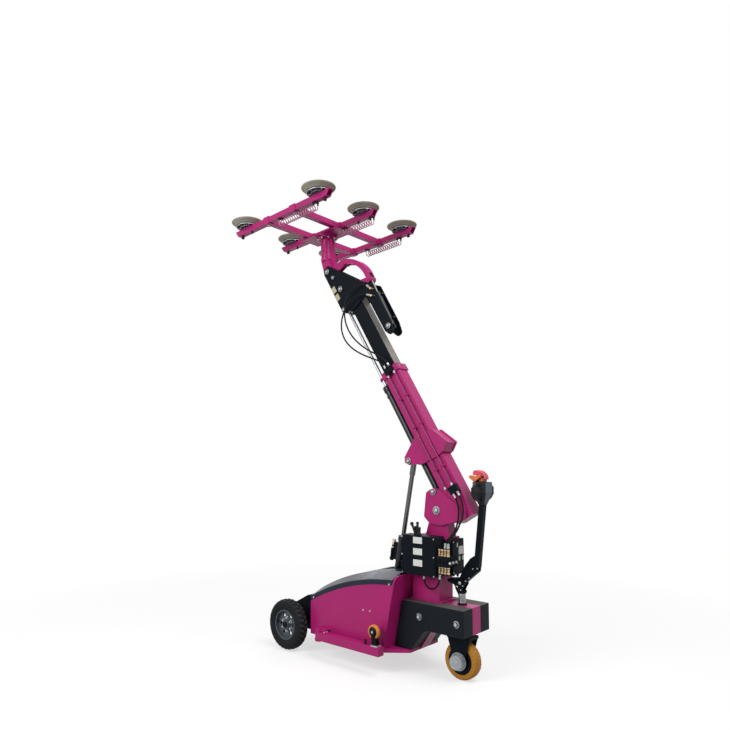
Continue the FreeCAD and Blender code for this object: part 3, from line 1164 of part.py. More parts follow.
def outer_boom():
    """The outer tube with its collar, saddle and base plates."""
    y = around(0, OUTER_HALF_WIDTH)
    z = (OUTER_LOW_Z, OUTER_LOW_Z + OUTER_DEPTH)
    room = box((OUTER_LOW_X + OUTER_WALL, OUTER_TOP_X + COLLAR_OVERHANG + OVERRUN), wider(y, -OUTER_WALL),
               wider(z, -OUTER_WALL))
    collar_x = (OUTER_TOP_X + COLLAR_OVERHANG - COLLAR_LENGTH, OUTER_TOP_X + COLLAR_OVERHANG)
    collar = box(collar_x, wider(y, COLLAR_RISE), wider(z, COLLAR_RISE))
    guide_x = (collar_x[1] - GUIDE_THICKNESS, collar_x[1])
    guide = fuse(box(guide_x, around(0, GUIDE_HALF_WIDTH), (EXTEND_Z, z[0])),
                 along_x(0, EXTEND_Z, GUIDE_HALF_WIDTH, guide_x))
    rod_hole = along_x(0, EXTEND_Z, EXTEND_ROD_RADIUS + SIDE_PLAY, wider(guide_x))
    tube = cut(fuse(box((OUTER_LOW_X, OUTER_TOP_X), y, z), collar, guide), room, rod_hole)
    base = scaled(BASE_PLATE_SHARES, (0, 0), (BASE_PLATE_FRONT, BASE_PLATE_DROP))
    saddle = scaled(SADDLE_SHARES, (SADDLE_BACK_X, SADDLE_LOW_Z), (SADDLE_LENGTH, SADDLE_HEIGHT))
    near, far = OUTER_HALF_WIDTH, OUTER_HALF_WIDTH + SIDE_PLATE
    base_parts, saddle_parts = [], []
    for side in (1, -1):
        pair = on_side(side, near, far)
        pivot = along_y(0, 0, PIVOT_PIN_RADIUS + SHAFT_PLAY, wider(pair))
        base_parts.append(cut(plate(base, pair, SIDE_PLATE_CORNER), pivot))
        saddle_parts.append(plate(saddle, pair, SIDE_PLATE_CORNER / 2))
    base_parts.append(along_y(EXTEND_PIN_X, EXTEND_Z, EXTEND_PIN_RADIUS, around(0, far + PIN_HEAD_HEIGHT)))
    cap_line = [saddle[7], saddle[8], saddle[9]]
    cap = [(px, pz - SADDLE_CAP_INSET) for px, pz in cap_line]
    cap += [(px, pz - SADDLE_CAP) for px, pz in reversed(cap)]
    saddle_parts.append(plate(cap, around(0, near)))
    saddle_parts.append(along_y(LUFF_PIN_X, LUFF_PIN_Z, LUFF_PIN_RADIUS, around(0, far + PIN_HEAD_HEIGHT)))
    saddle_parts += [along_y(LUFF_PIN_X, LUFF_PIN_Z, PIN_HEAD_RADIUS,
                             on_side(side, LUFF_EYE_HALF_WIDTH + SIDE_PLAY, near))
                     for side in (1, -1)]
    spacers = [along_y(EXTEND_PIN_X, EXTEND_Z, EXTEND_EYE_RADIUS,
                       on_side(side, EXTEND_EYE_HALF_WIDTH + SEAT_GAP, near))
               for side in (1, -1)]
    tube_bar = box((OUTER_LOW_X - OVERRUN, OUTER_TOP_X), y, z)
    return {"outer_boom": raised(tube), "lift_saddle": raised(cut(fuse(*saddle_parts), tube_bar)),
            "boom_base_plates": raised(cut(fuse(*base_parts, *spacers), tube_bar))}


def extension_cylinder():
    """Barrel under the outer boom and rod pinned between the head plates."""
    eye_y = around(0, EXTEND_EYE_HALF_WIDTH)
    low = EXTEND_PIN_X + EXTEND_EYE_RADIUS + SIDE_PLAY
    barrel_x = (low, EXTEND_BARREL_TOP_X)
    neck = along_x(0, EXTEND_Z, EXTEND_BORE_RADIUS, (EXTEND_PIN_X, low + OVERRUN))
    gland = (EXTEND_BARREL_TOP_X - EXTEND_GLAND_LENGTH, EXTEND_BARREL_TOP_X)
    body = fuse(along_x(0, EXTEND_Z, EXTEND_BARREL_RADIUS, barrel_x),
                along_x(0, EXTEND_Z, EXTEND_GLAND_RADIUS, gland),
                neck, along_y(EXTEND_PIN_X, EXTEND_Z, EXTEND_EYE_RADIUS, eye_y))
    bore = along_x(0, EXTEND_Z, EXTEND_BORE_RADIUS, (low + EXTEND_BARREL_BASE, gland[0]))
    mouth = along_x(0, EXTEND_Z, EXTEND_ROD_RADIUS + SHAFT_PLAY, (gland[0] - OVERRUN, gland[1] + OVERRUN))
    pin_bore = along_y(EXTEND_PIN_X, EXTEND_Z, EXTEND_PIN_RADIUS + SHAFT_PLAY, wider(eye_y))
    barrel = cut(body, bore, mouth, pin_bore)
    piston = along_x(0, EXTEND_Z, EXTEND_BORE_RADIUS - SEAT_GAP,
                     (EXTEND_PISTON_X, EXTEND_PISTON_X + EXTEND_PISTON_LENGTH))
    rod = fuse(along_x(0, EXTEND_Z, EXTEND_ROD_RADIUS, (EXTEND_PISTON_X, EXTEND_ROD_PIN_X)), piston,
               along_y(EXTEND_ROD_PIN_X, EXTEND_Z, EXTEND_ROD_EYE_RADIUS, eye_y))
    rod = cut(rod, along_y(EXTEND_ROD_PIN_X, EXTEND_Z, LINK_PIN_RADIUS + SHAFT_PLAY, wider(eye_y)))
    return {"extension_barrel": raised(barrel), "extension_rod": raised(rod)}


def boom_plumbing():
    """Two manifolds and two steel pipes along the boom's left side."""
    near = OUTER_HALF_WIDTH
    blocks = []
    for x, share, foot in ((LOW_MANIFOLD_X, LOW_MANIFOLD_SHARE, near),
                           (TOP_MANIFOLD_X, TOP_MANIFOLD_SHARE, near + COLLAR_RISE)):
        z = OUTER_LOW_Z + OUTER_DEPTH * share
        block_x = around(x, MANIFOLD_LENGTH / 2)
        blocks.append(box(block_x, (foot, foot + MANIFOLD_DEPTH), around(z, MANIFOLD_HEIGHT / 2)))
    pipe_x = (LOW_MANIFOLD_X + MANIFOLD_LENGTH / 2, TOP_MANIFOLD_X - MANIFOLD_LENGTH / 2)
    pipes = [along_x(PIPE_Y, OUTER_LOW_Z + OUTER_DEPTH * share, PIPE_RADIUS, pipe_x) for share in PIPE_SHARES]
    return {"boom_plumbing": raised(Part.makeCompound(blocks + pipes))}


def inner_boom():
    """The sliding tube with wear pads, and the head plates with their pins."""
    y = around(0, INNER_HALF_WIDTH)
    z = (INNER_LOW_Z, INNER_LOW_Z + INNER_DEPTH)
    x = (INNER_LOW_X, INNER_TOP_X)
    tube = cut(box(x, y, z), box(wider(x), wider(y, -INNER_WALL), wider(z, -INNER_WALL)))
    room_y = OUTER_HALF_WIDTH - OUTER_WALL - SEAT_GAP
    room_z = (OUTER_LOW_Z + OUTER_WALL + SEAT_GAP, OUTER_LOW_Z + OUTER_DEPTH - OUTER_WALL - SEAT_GAP)
    pad_x = (INNER_LOW_X, INNER_LOW_X + WEAR_PAD_LENGTH)
    pads = cut(box(pad_x, around(0, room_y), room_z), box(wider(pad_x), y, z))
    outline = scaled(HEAD_PLATE_SHARES, (HEAD_PLATE_LOW_X, HEAD_PLATE_LOW_Z),
                     (HEAD_PLATE_LENGTH, HEAD_PLATE_DEPTH))
    near, far = INNER_HALF_WIDTH, INNER_HALF_WIDTH + SIDE_PLATE
    pieces = []
    for side in (1, -1):
        pair = on_side(side, near, far)
        pieces.append(plate(outline, pair, SIDE_PLATE_CORNER))
        pieces.append(along_y(TILT_BASE_X, TILT_BASE_Z, LINK_PIN_RADIUS,
                              on_side(side, near, far + PIN_HEAD_HEIGHT)))
    heads = far + PIN_HEAD_HEIGHT
    pins = []
    for px, pz, radius in ((HEAD_PIN_X, HEAD_PIN_Z, HEAD_PIN_RADIUS),
                           (CROSS_BOLT_X, CROSS_BOLT_Z, CROSS_BOLT_RADIUS),
                           (ROCKER_PIN_X, ROCKER_PIN_Z, LINK_PIN_RADIUS),
                           (EXTEND_ROD_PIN_X, EXTEND_Z, LINK_PIN_RADIUS)):
        pins.append(along_y(px, pz, radius, around(0, heads)))
    spacer_near = ROD_EYE_HALF_WIDTH + SIDE_PLAY + ROCKER_PLATE + SEAT_GAP
    pins += [along_y(ROCKER_PIN_X, ROCKER_PIN_Z, ROCKER_EYE_RADIUS, on_side(side, spacer_near, near))
             for side in (1, -1)]
    pins += [along_y(EXTEND_ROD_PIN_X, EXTEND_Z, PIN_HEAD_RADIUS,
                     on_side(side, EXTEND_EYE_HALF_WIDTH + SEAT_GAP, near))
             for side in (1, -1)]
    solids = [fuse(*pieces, *pins)] + [hose_elbow(route, far) for route in HEAD_HOSE_ROUTES]
    return {"inner_boom": raised(Part.makeCompound([tube, pads])),
            "head_plates": raised(Part.makeCompound(solids))}


def hose_elbow(route, seat_y):
    """An elbow fitting on the head plate's left side that takes the end of a hose."""
    before, end = V(*route[-2]), V(*route[-1])
    centre = end.add(end.sub(before).normalize() * ELBOW_LENGTH)
    top = centre.y + ELBOW_RADIUS
    return fuse(along_y(centre.x, centre.z, ELBOW_RADIUS, (seat_y, top)),
                bar(end, centre, ELBOW_RADIUS - SIDE_PLAY))


# Tilt linkage

def tilt_linkage():
    """Rocker, arched link and tilt cylinder, drawn in the boom frame."""
    rocker_near = ROD_EYE_HALF_WIDTH + SIDE_PLAY
    rocker_far = rocker_near + ROCKER_PLATE
    pivot, link = (ROCKER_PIN_X, ROCKER_PIN_Z), (LINK_PIN_X, LINK_PIN_Z)
    plates = []
    for side in (1, -1):
        pair = on_side(side, rocker_near, rocker_far)
        bore = along_y(*pivot, LINK_PIN_RADIUS + SHAFT_PLAY, wider(pair))
        plates.append(cut(link_plate(pivot, link, ROCKER_EYE_RADIUS, ROCKER_EYE_RADIUS, pair), bore))
    rocker = fuse(*plates, along_y(*link, LINK_PIN_RADIUS, around(0, rocker_far)))
    arch_near = rocker_far + SIDE_PLAY
    arch = arch_link(arch_near)
    base = V(TILT_BASE_X, 0, TILT_BASE_Z)
    end = V(LINK_PIN_X, 0, LINK_PIN_Z)
    way = end.sub(base).normalize()
    eye_y = around(0, ROD_EYE_HALF_WIDTH)
    barrel_top = base.add(way * TILT_BARREL_LENGTH)
    barrel = fuse(bar(base.add(way * (TILT_EYE_RADIUS / 2)), barrel_top, TILT_BARREL_RADIUS),
                  along_y(TILT_BASE_X, TILT_BASE_Z, TILT_EYE_RADIUS, eye_y))
    ports = []
    for inset in (TILT_EYE_RADIUS + TILT_PORT_INSET, TILT_BARREL_LENGTH - TILT_PORT_INSET):
        spot = base.add(way * inset)
        ports.append(along_z(spot.x, 0, TILT_PORT_RADIUS, (spot.z, spot.z + TILT_PORT_HEIGHT)))
    bore = bar(base.add(way * (TILT_EYE_RADIUS + TILT_BARREL_BASE)), barrel_top.sub(way * TILT_BARREL_BASE),
               TILT_BORE_RADIUS)
    mouth = bar(barrel_top.sub(way * (TILT_BARREL_BASE + OVERRUN)), barrel_top.add(way * OVERRUN),
                TILT_ROD_RADIUS + SHAFT_PLAY)
    pin_room = along_y(TILT_BASE_X, TILT_BASE_Z, LINK_PIN_RADIUS + SHAFT_PLAY, wider(eye_y))
    barrel = cut(fuse(barrel, *ports), bore, mouth, pin_room)
    inner_end = barrel_top.sub(way * (TILT_BARREL_BASE + TILT_ROD_TUCK))
    rod_eye_y = around(0, ROD_EYE_HALF_WIDTH)
    rod = fuse(bar(inner_end, end, TILT_ROD_RADIUS),
               along_y(LINK_PIN_X, LINK_PIN_Z, TILT_ROD_EYE_RADIUS, rod_eye_y))
    trim = [box(around(LINK_PIN_X, TILT_ROD_EYE_RADIUS * 2),
                on_side(side, ROD_EYE_HALF_WIDTH, TILT_ROD_EYE_RADIUS * 2),
                around(LINK_PIN_Z, TILT_ROD_EYE_RADIUS * 2)) for side in (1, -1)]
    rod = cut(rod, along_y(LINK_PIN_X, LINK_PIN_Z, LINK_PIN_RADIUS + SHAFT_PLAY, wider(rod_eye_y)), *trim)
    return {"tilt_rocker": raised(rocker), "arch_link": raised(arch), "tilt_barrel": raised(barrel),
            "tilt_rod": raised(rod)}


def arch_link(near):
    """Two curved plates with a web between them, from the yoke lever to the link pin."""
    a, b = V(YOKE_PIN_X, 0, YOKE_PIN_Z), V(LINK_PIN_X, 0, LINK_PIN_Z)
    chord = b.sub(a)
    out = V(-chord.z, 0, chord.x).normalize()
    if out.z < 0:
        out = out * -1
    crown = a.add(chord * 0.5).add(out * ARCH_RISE)
    circle = Part.Circle(a, crown, b)
    centre = circle.Center

    def ring_line(offset, first, last):
        points = []
        for p in (first, crown, last):
            ray = p.sub(centre)
            points.append(centre.add(ray * ((ray.Length + offset) / ray.Length)))
        return points

    def band(inner_offset, outer_offset, y):
        low, high = ring_line(inner_offset, a, b), ring_line(outer_offset, a, b)
        wire = Part.Wire([Part.Arc(*low).toShape(), Part.makeLine(low[2], high[2]),
                          Part.Arc(*reversed(high)).toShape(), Part.makeLine(high[0], low[0])])
        face = Part.Face(wire)
        face.translate(V(0, y[0], 0))
        return face.extrude(V(0, y[1] - y[0], 0))

    far = near + ARCH_PLATE
    pieces = []
    for side in (1, -1):
        pair = on_side(side, near, far)
        pieces.append(band(-ARCH_WIDTH / 2, ARCH_WIDTH / 2, pair))
        for p in (a, b):
            pieces.append(along_y(p.x, p.z, ARCH_EYE_RADIUS, pair))
        pieces.append(along_y(b.x, b.z, LINK_PIN_RADIUS, on_side(side, near, far + PIN_HEAD_HEIGHT / 2)))
    web = band(ARCH_WIDTH / 2 - ARCH_WEB, ARCH_WIDTH / 2, around(0, near))
    keep_clear = [along_y(p.x, p.z, ARCH_WEB_CLEAR, around(0, near)) for p in (a, b)]
    pieces.append(cut(web, *keep_clear))
    bore = along_y(a.x, a.z, LINK_PIN_RADIUS + SHAFT_PLAY, wider(around(0, far)))
    return cut(fuse(*pieces), bore)


# Vacuum head

def yoke():
    """The tilting yoke: boss on the head pin, lever to the arched link and neck of the turntable."""
    lever = head_place(YOKE_PIN_X, YOKE_PIN_Z)
    y = around(0, YOKE_HALF_WIDTH)
    boss = along_y(0, 0, YOKE_BOSS_RADIUS, y)
    inside = NECK_RADIUS - NECK_FLANGE
    cheek = plate([(-YOKE_BOSS_RADIUS, 0), (YOKE_BOSS_RADIUS, 0),
                   (SLEW_OFFSET + inside, NECK_LOW_Z + NECK_RADIUS / 2),
                   (SLEW_OFFSET - inside, NECK_LOW_Z + NECK_RADIUS / 2)], y)
    neck = along_z(SLEW_OFFSET, 0, NECK_RADIUS, (NECK_LOW_Z, NECK_TOP_Z))
    flange = along_z(SLEW_OFFSET, 0, NECK_FLANGE_RADIUS, (NECK_TOP_Z - NECK_FLANGE, NECK_TOP_Z))
    arm_y = around(0, YOKE_LEVER_HALF_WIDTH)
    arm = link_plate((0, 0), lever, YOKE_BOSS_RADIUS, YOKE_LEVER_RADIUS, arm_y)
    rib_y = wider(arm_y, -NECK_FLANGE / 2)
    rib = plate([(-YOKE_BOSS_RADIUS, NECK_LOW_Z / 2),
                 (SLEW_OFFSET - NECK_RADIUS - NECK_FLANGE, NECK_TOP_Z - NECK_FLANGE / 2),
                 (SLEW_OFFSET, NECK_TOP_Z - NECK_FLANGE / 2), (SLEW_OFFSET, NECK_LOW_Z / 2)], rib_y)
    bar_y = YOKE_LEVER_HALF_WIDTH + YOKE_PIN_MARGIN + ARCH_PLATE
    pin = along_y(*lever, LINK_PIN_RADIUS, around(0, bar_y))
    bore = along_y(0, 0, HEAD_PIN_RADIUS + SHAFT_PLAY, wider(y))
    socket = along_z(SLEW_OFFSET, 0, SPIGOT_RADIUS + SHAFT_PLAY,
                     (NECK_TOP_Z - SPIGOT_LENGTH - OVERRUN, NECK_TOP_Z + OVERRUN))
    return {"tilt_yoke": on_head(cut(fuse(boss, cheek, neck, flange, arm, rib, pin), bore, socket))}


def vacuum_frame():
    """Turntable, hub plate, cross beams with sleeves and three arms."""
    cx = SLEW_OFFSET
    turntable = fuse(along_z(cx, 0, TURNTABLE_RADIUS, (TURNTABLE_LOW, HUB_LOW)),
                     along_z(cx, 0, SPIGOT_RADIUS, (NECK_TOP_Z - SPIGOT_LENGTH, HUB_LOW)))
    hub = box(around(cx, HUB_HALF_LENGTH), around(0, HUB_HALF_WIDTH), (HUB_LOW, SLEEVE_LOW))
    inner = ARM_SIZE / 2 + SHAFT_PLAY
    outer = inner + SLEEVE_WALL
    rows = (-ARM_SPACING, 0, ARM_SPACING)
    sleeves, beams, arms = [], [], []
    for v in rows:
        for way in (1, -1):
            x = around(cx + way * BEAM_OFFSET, SLEEVE_LENGTH / 2)
            sleeves.append(cut(box(x, around(v, outer), around(ARM_Z, outer)),
                               box(wider(x), around(v, inner), around(ARM_Z, inner))))
        arms.append(frame_arm(cx, v))
    for way in (1, -1):
        for low, high in zip(rows, rows[1:]):
            y = (low + outer, high - outer)
            x, z = around(cx + way * BEAM_OFFSET, BEAM_SIZE / 2), around(ARM_Z, BEAM_SIZE / 2)
            beams.append(cut(box(x, y, z), box(wider(x, -BEAM_WALL), wider(y), wider(z, -BEAM_WALL))))
    return {"hub_plate": on_head(Part.makeCompound([turntable, hub])),
            "cross_beams": on_head(Part.makeCompound(sleeves + beams)),
            "frame_arms": on_head(Part.makeCompound(arms))}


def frame_arm(cx, v):
    """One square arm with ends cut up towards its pads."""
    half = ARM_SIZE / 2
    low, high = ARM_Z - half, ARM_Z + half
    left, right = cx - ARM_HALF_LENGTH, cx + ARM_HALF_LENGTH
    outline = [(left + ARM_BEVEL, low), (left, high), (right, high), (right - ARM_BEVEL, low)]
    arm = plate(outline, around(v, half))
    room = box((left - OVERRUN, right + OVERRUN), around(v, half - ARM_WALL), wider((low, high), -ARM_WALL))
    return cut(arm, room)


def pads():
    """Six suction pads: post, ribbed back plate, rubber lip and hose elbow."""
    cx = SLEW_OFFSET
    plates, lips, elbows = [], [], []
    arm_top = ARM_Z + ARM_SIZE / 2
    low, high = PAD_PLATE_LOW, PAD_PLATE_LOW + PAD_PLATE
    seat = PAD_PLATE_RADIUS * PAD_LIP_SEAT_SHARE
    for v in (-ARM_SPACING, 0, ARM_SPACING):
        for way in (1, -1):
            x = cx + way * PAD_OFFSET
            pieces = [along_z(x, v, PAD_POST_RADIUS, (arm_top, high)),
                      along_z(x, v, PAD_PLATE_RADIUS, (low, high))]
            ring_r = PAD_PLATE_RADIUS * PAD_RIB_RING_SHARE
            rib_low = low - PAD_RIB_HEIGHT
            pieces.append(cut(along_z(x, v, ring_r, (rib_low, low)),
                              along_z(x, v, ring_r - PAD_RIB, wider((rib_low, low)))))
            for i in range(PAD_RIBS):
                rib = box((x, x + PAD_PLATE_RADIUS), around(v, PAD_RIB / 2), (rib_low, high))
                rib.rotate(V(x, v, 0), ALONG_Z, 360 * (i + 0.5) / PAD_RIBS)
                pieces.append(rib)
            plates.append(fuse(*pieces).common(along_z(x, v, PAD_PLATE_RADIUS, (arm_top, high))))
            thick = PAD_LIP_THICKNESS
            lip = [(seat, high), (PAD_PLATE_RADIUS, high), (PAD_LIP_RADIUS, high + PAD_LIP_HEIGHT - thick),
                   (PAD_LIP_RADIUS, high + PAD_LIP_HEIGHT), (PAD_LIP_RADIUS - thick, high + PAD_LIP_HEIGHT),
                   (PAD_PLATE_RADIUS - thick / 2, high + thick), (seat, high + thick)]
            lips.append(turned_z(lip, x, v))
            inset = x - way * PAD_ELBOW_INSET
            under = ARM_Z - ARM_SIZE / 2
            elbows.append(along_z(inset, v, PAD_ELBOW_RADIUS, (under - PAD_ELBOW_HEIGHT, under)))
    return {"pad_plates": on_head(Part.makeCompound(plates + elbows)),
            "pad_lips": on_head(Part.makeCompound(lips))}


def vacuum_hoses():
    """Three curly hoses, one under each arm, between hose brackets on the arm."""
    tubes, brackets = [], []
    under = ARM_Z - ARM_SIZE / 2
    port_low = under - CURL_BRACKET - CURL_PORT
    reach = CURL_RADIUS + CURL_BRACKET
    for v, count, start in zip((ARM_SPACING, 0, -ARM_SPACING), CURL_COUNTS, CURL_STARTS):
        first = V(SLEW_OFFSET + start, v - CURL_RADIUS, port_low)
        tube, last = curly_hose(first, count)
        tubes.append(tube)
        for end in (first, last):
            plate_z = (under - CURL_BRACKET, under)
            pad = box(around(end.x, CURL_BRACKET), around(v, reach), plate_z)
            brackets.append(fuse(pad, along_z(end.x, end.y, CURL_PORT_RADIUS, (port_low, under))))
    return {"vacuum_hoses": on_head(Part.makeCompound(tubes)),
            "hose_brackets": on_head(Part.makeCompound(brackets))}


# Luffing cylinder

def luff_cylinder():
    """Rod pinned in the saddle and barrel that reaches down into the tub."""
    top = boom_point(LUFF_PIN_X, LUFF_PIN_Z)
    base = V(LUFF_BASE_X, 0, LUFF_BASE_Z)
    way = base.sub(top).normalize()
    eye_y = around(0, LUFF_EYE_HALF_WIDTH)
    rod = fuse(bar(top, top.add(way * LUFF_ROD_LENGTH), LUFF_ROD_RADIUS),
               bar(top, top.add(way * LUFF_SLEEVE_LENGTH), LUFF_SLEEVE_RADIUS),
               along_y(top.x, top.z, LUFF_EYE_RADIUS, eye_y))
    rod = cut(rod, along_y(top.x, top.z, LUFF_PIN_RADIUS + SHAFT_PLAY, wider(eye_y)))
    mouth = base.sub(way * LUFF_BARREL_LENGTH)
    gland_end = mouth.add(way * LUFF_GLAND_LENGTH)
    body = fuse(bar(mouth, base, LUFF_BARREL_RADIUS), bar(mouth, gland_end, LUFF_GLAND_RADIUS),
                along_y(base.x, base.z, LUFF_EYE_RADIUS, eye_y))
    sides = [box(around(base.x, LUFF_GLAND_RADIUS * 2),
                 on_side(side, LUFF_EYE_HALF_WIDTH, LUFF_GLAND_RADIUS * 2),
                 around(base.z, LUFF_EYE_RADIUS)) for side in (1, -1)]
    floor = base.sub(way * (LUFF_EYE_RADIUS + LUFF_BARREL_BASE))
    tools = [bar(gland_end, floor, LUFF_BORE_RADIUS),
             bar(mouth.sub(way * OVERRUN), gland_end.add(way * OVERRUN), LUFF_ROD_RADIUS + SHAFT_PLAY),
             along_y(base.x, base.z, LUFF_PIN_RADIUS + SHAFT_PLAY, wider(eye_y))]
    return {"luff_rod": rod, "luff_barrel": cut(body, *tools, *sides)}


# Stabilisers

def stabilisers():
    """Swinging arms along both sides, each with a rolling castor carrier at its end."""
    nodes = {}
    hinges = []
    for side, name in ((1, "left"), (-1, "right")):
        arm, lugs = stabiliser_arm(side)
        hinges += lugs
        nodes[name + "_stabiliser_arm"] = arm
        carrier, fork, wheel = castor(side)
        nodes[name + "_castor_carrier"] = carrier
        nodes[name + "_castor_fork"] = fork
        nodes[name + "_castor_wheel"] = wheel
    nodes["stabiliser_hinges"] = Part.makeCompound(hinges)
    return nodes


def stabiliser_arm(side):
    """A square tube with a rounded hinge end and a socket for the castor carrier."""
    half = STAY_SIZE / 2
    y = side * STAY_Y
    x = (STAY_END_X, STAY_PIN_X)
    z = around(STAY_Z, half)
    tube = fuse(box(x, around(y, half), z), along_z(STAY_PIN_X, y, half, z))
    room = box((STAY_END_X + STAY_SOCKET_LENGTH, STAY_PIN_X - half), around(y, half - STAY_WALL),
               wider(z, -STAY_WALL))
    socket = along_x(y, STAY_Z, CARRIER_SPIGOT_RADIUS + SHAFT_PLAY,
                     (STAY_END_X - OVERRUN, STAY_END_X + STAY_SOCKET_LENGTH + OVERRUN))
    bore = along_z(STAY_PIN_X, y, STAY_PIN_RADIUS + SHAFT_PLAY, wider(z))
    lugs = []
    low, high = z[0] - STAY_LUG_PLAY, z[1] + STAY_LUG_PLAY
    for lug_z in ((low - STAY_LUG, low), (high, high + STAY_LUG)):
        root = box(around(STAY_PIN_X, STAY_LUG_LENGTH / 2), on_side(side, BODY_HALF_WIDTH, STAY_Y), lug_z)
        lugs.append(fuse(root, along_z(STAY_PIN_X, y, half, lug_z)))
    pin = along_z(STAY_PIN_X, y, STAY_PIN_RADIUS, (low - STAY_LUG, high + STAY_LUG))
    return cut(tube, room, socket, bore), [fuse(*lugs, pin)]


def castor(side):
    """A carrier that rolls half a turn in the arm, a swivelling fork and its wheel."""
    half = STAY_SIZE / 2
    y = side * STAY_Y
    x = (STAY_END_X - CARRIER_GAP - CARRIER_LENGTH, STAY_END_X - CARRIER_GAP)
    centre = sum(x) / 2
    block = box(x, around(y, half), around(STAY_Z, half))
    spigot = along_x(y, STAY_Z, CARRIER_SPIGOT_RADIUS, (x[1] - OVERRUN, x[1] + CARRIER_SPIGOT_LENGTH))
    deck = STAY_Z + half
    race_top = deck + CASTOR_RACE_HEIGHT
    race = along_z(centre, y, CASTOR_RACE_RADIUS, (deck, race_top))
    carrier = fuse(block, spigot, race)
    crown_low = race_top + SEAT_GAP
    near = CASTOR_WHEEL_WIDTH / 2 + CASTOR_SIDE_GAP
    axle_x = centre + CASTOR_TRAIL
    axle_z = 2 * STAY_Z - CASTOR_GROUND_GAP - CASTOR_WHEEL_RADIUS
    crown = along_z(centre, y, CASTOR_RACE_RADIUS, (crown_low, crown_low + CASTOR_CROWN))
    pieces = [crown]
    for way in (1, -1):
        pair = tuple(sorted((y + way * near, y + way * (near + CASTOR_LEG))))
        outline = [(centre - CASTOR_RACE_RADIUS, crown_low), (centre + CASTOR_RACE_RADIUS, crown_low),
                   (axle_x + CASTOR_LEG_HALF_LENGTH, axle_z), (axle_x - CASTOR_LEG_HALF_LENGTH, axle_z)]
        pieces += [plate(outline, pair), along_y(axle_x, axle_z, CASTOR_LEG_HALF_LENGTH, pair)]
    pieces.append(box(around(centre, CASTOR_RACE_RADIUS), around(y, near + CASTOR_LEG),
                      (crown_low, crown_low + CASTOR_CROWN)))
    pieces.append(along_y(axle_x, axle_z, CASTOR_AXLE_RADIUS, around(y, near + CASTOR_LEG)))
    fork = fuse(*pieces)
    hub_y = around(y, CASTOR_WHEEL_WIDTH / 2)
    wheel = cut(along_y(axle_x, axle_z, CASTOR_WHEEL_RADIUS, hub_y),
                along_y(axle_x, axle_z, CASTOR_AXLE_RADIUS + SHAFT_PLAY, wider(hub_y)))
    return carrier, fork, wheel


# Hoses

def hydraulic_hoses():
    """Hoses of the head, on the boom, and hoses of the valve bank, on the machine."""
    head = [raised(hose([V(*p) for p in route], HOSE_RADIUS)) for route in HEAD_HOSE_ROUTES]
    base = [hose([V(*p) for p in route], HOSE_RADIUS) for route in BASE_HOSE_ROUTES]
    return {"head_hoses": Part.makeCompound(head), "base_hoses": Part.makeCompound(base)}


def build():
    """Every node of the lifter, with the origin under the middle of its box."""
    nodes = {"chassis_frame": chassis(), "hood": hood(), "left_side_panel": side_panel(1),
             "right_side_panel": side_panel(-1)}
    for group in (front_wheels, front_axle_parts, counterweights, mast, mast_boxes, inner_units, drive_unit,
                  steering_column, tiller, outer_boom, extension_cylinder, boom_plumbing, inner_boom,
                  tilt_linkage, yoke, vacuum_frame, pads, vacuum_hoses, luff_cylinder, stabilisers,
                  hydraulic_hoses):
        nodes.update(group())
    nodes["pad_plates"] = Part.makeCompound([nodes["pad_plates"], nodes.pop("hose_brackets")])
    whole = Part.makeCompound(list(nodes.values())).BoundBox
    shift = V(-whole.Center.x, -whole.Center.y, -whole.ZMin)
    for shape in nodes.values():
        shape.translate(shift)
    return nodes, shift


def main():
    """Writes one STEP file for each node."""
    os.makedirs("parts", exist_ok=True)
    nodes, shift = build()
    for name, shape in nodes.items():
        shape.exportStep("parts/%s.step" % name)
    print("%d nodes, shift %.3f %.3f %.3f" % (len(nodes), shift.x, shift.y, shift.z))


if __name__ == "__main__":
    main()
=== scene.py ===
"""Looks of a glass panel lifter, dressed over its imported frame.

Places are in millimetres of one of three local frames: the machine, the raised boom and the vacuum head.
"""
from __future__ import annotations

import json
import logging
import math
from dataclasses import dataclass
from enum import Enum
from typing import Any, Callable, Iterable, Optional, Sequence, Union

import bmesh
import bpy
from mathutils import Matrix, Vector

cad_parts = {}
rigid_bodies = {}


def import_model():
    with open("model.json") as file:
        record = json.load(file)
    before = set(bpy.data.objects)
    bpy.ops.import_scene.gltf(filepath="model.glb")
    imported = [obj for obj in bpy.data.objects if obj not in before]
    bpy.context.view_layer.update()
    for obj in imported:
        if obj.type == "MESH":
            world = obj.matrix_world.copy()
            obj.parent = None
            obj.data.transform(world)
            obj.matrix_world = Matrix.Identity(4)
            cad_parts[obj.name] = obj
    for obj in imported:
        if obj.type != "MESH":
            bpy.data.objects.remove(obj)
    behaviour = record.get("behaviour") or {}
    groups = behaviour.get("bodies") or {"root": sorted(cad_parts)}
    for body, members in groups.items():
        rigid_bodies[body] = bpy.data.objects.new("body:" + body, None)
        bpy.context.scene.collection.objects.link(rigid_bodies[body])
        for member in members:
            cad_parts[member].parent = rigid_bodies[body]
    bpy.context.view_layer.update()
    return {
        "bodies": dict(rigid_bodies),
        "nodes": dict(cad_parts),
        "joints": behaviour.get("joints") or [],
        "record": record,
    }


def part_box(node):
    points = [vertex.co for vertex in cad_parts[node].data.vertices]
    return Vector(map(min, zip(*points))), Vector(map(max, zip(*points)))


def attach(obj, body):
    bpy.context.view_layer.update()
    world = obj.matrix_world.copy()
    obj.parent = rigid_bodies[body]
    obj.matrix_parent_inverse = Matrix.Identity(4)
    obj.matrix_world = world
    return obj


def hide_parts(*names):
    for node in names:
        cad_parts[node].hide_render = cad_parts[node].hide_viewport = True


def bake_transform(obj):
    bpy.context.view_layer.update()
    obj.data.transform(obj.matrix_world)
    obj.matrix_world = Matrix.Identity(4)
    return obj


LOG = logging.getLogger("lifter")

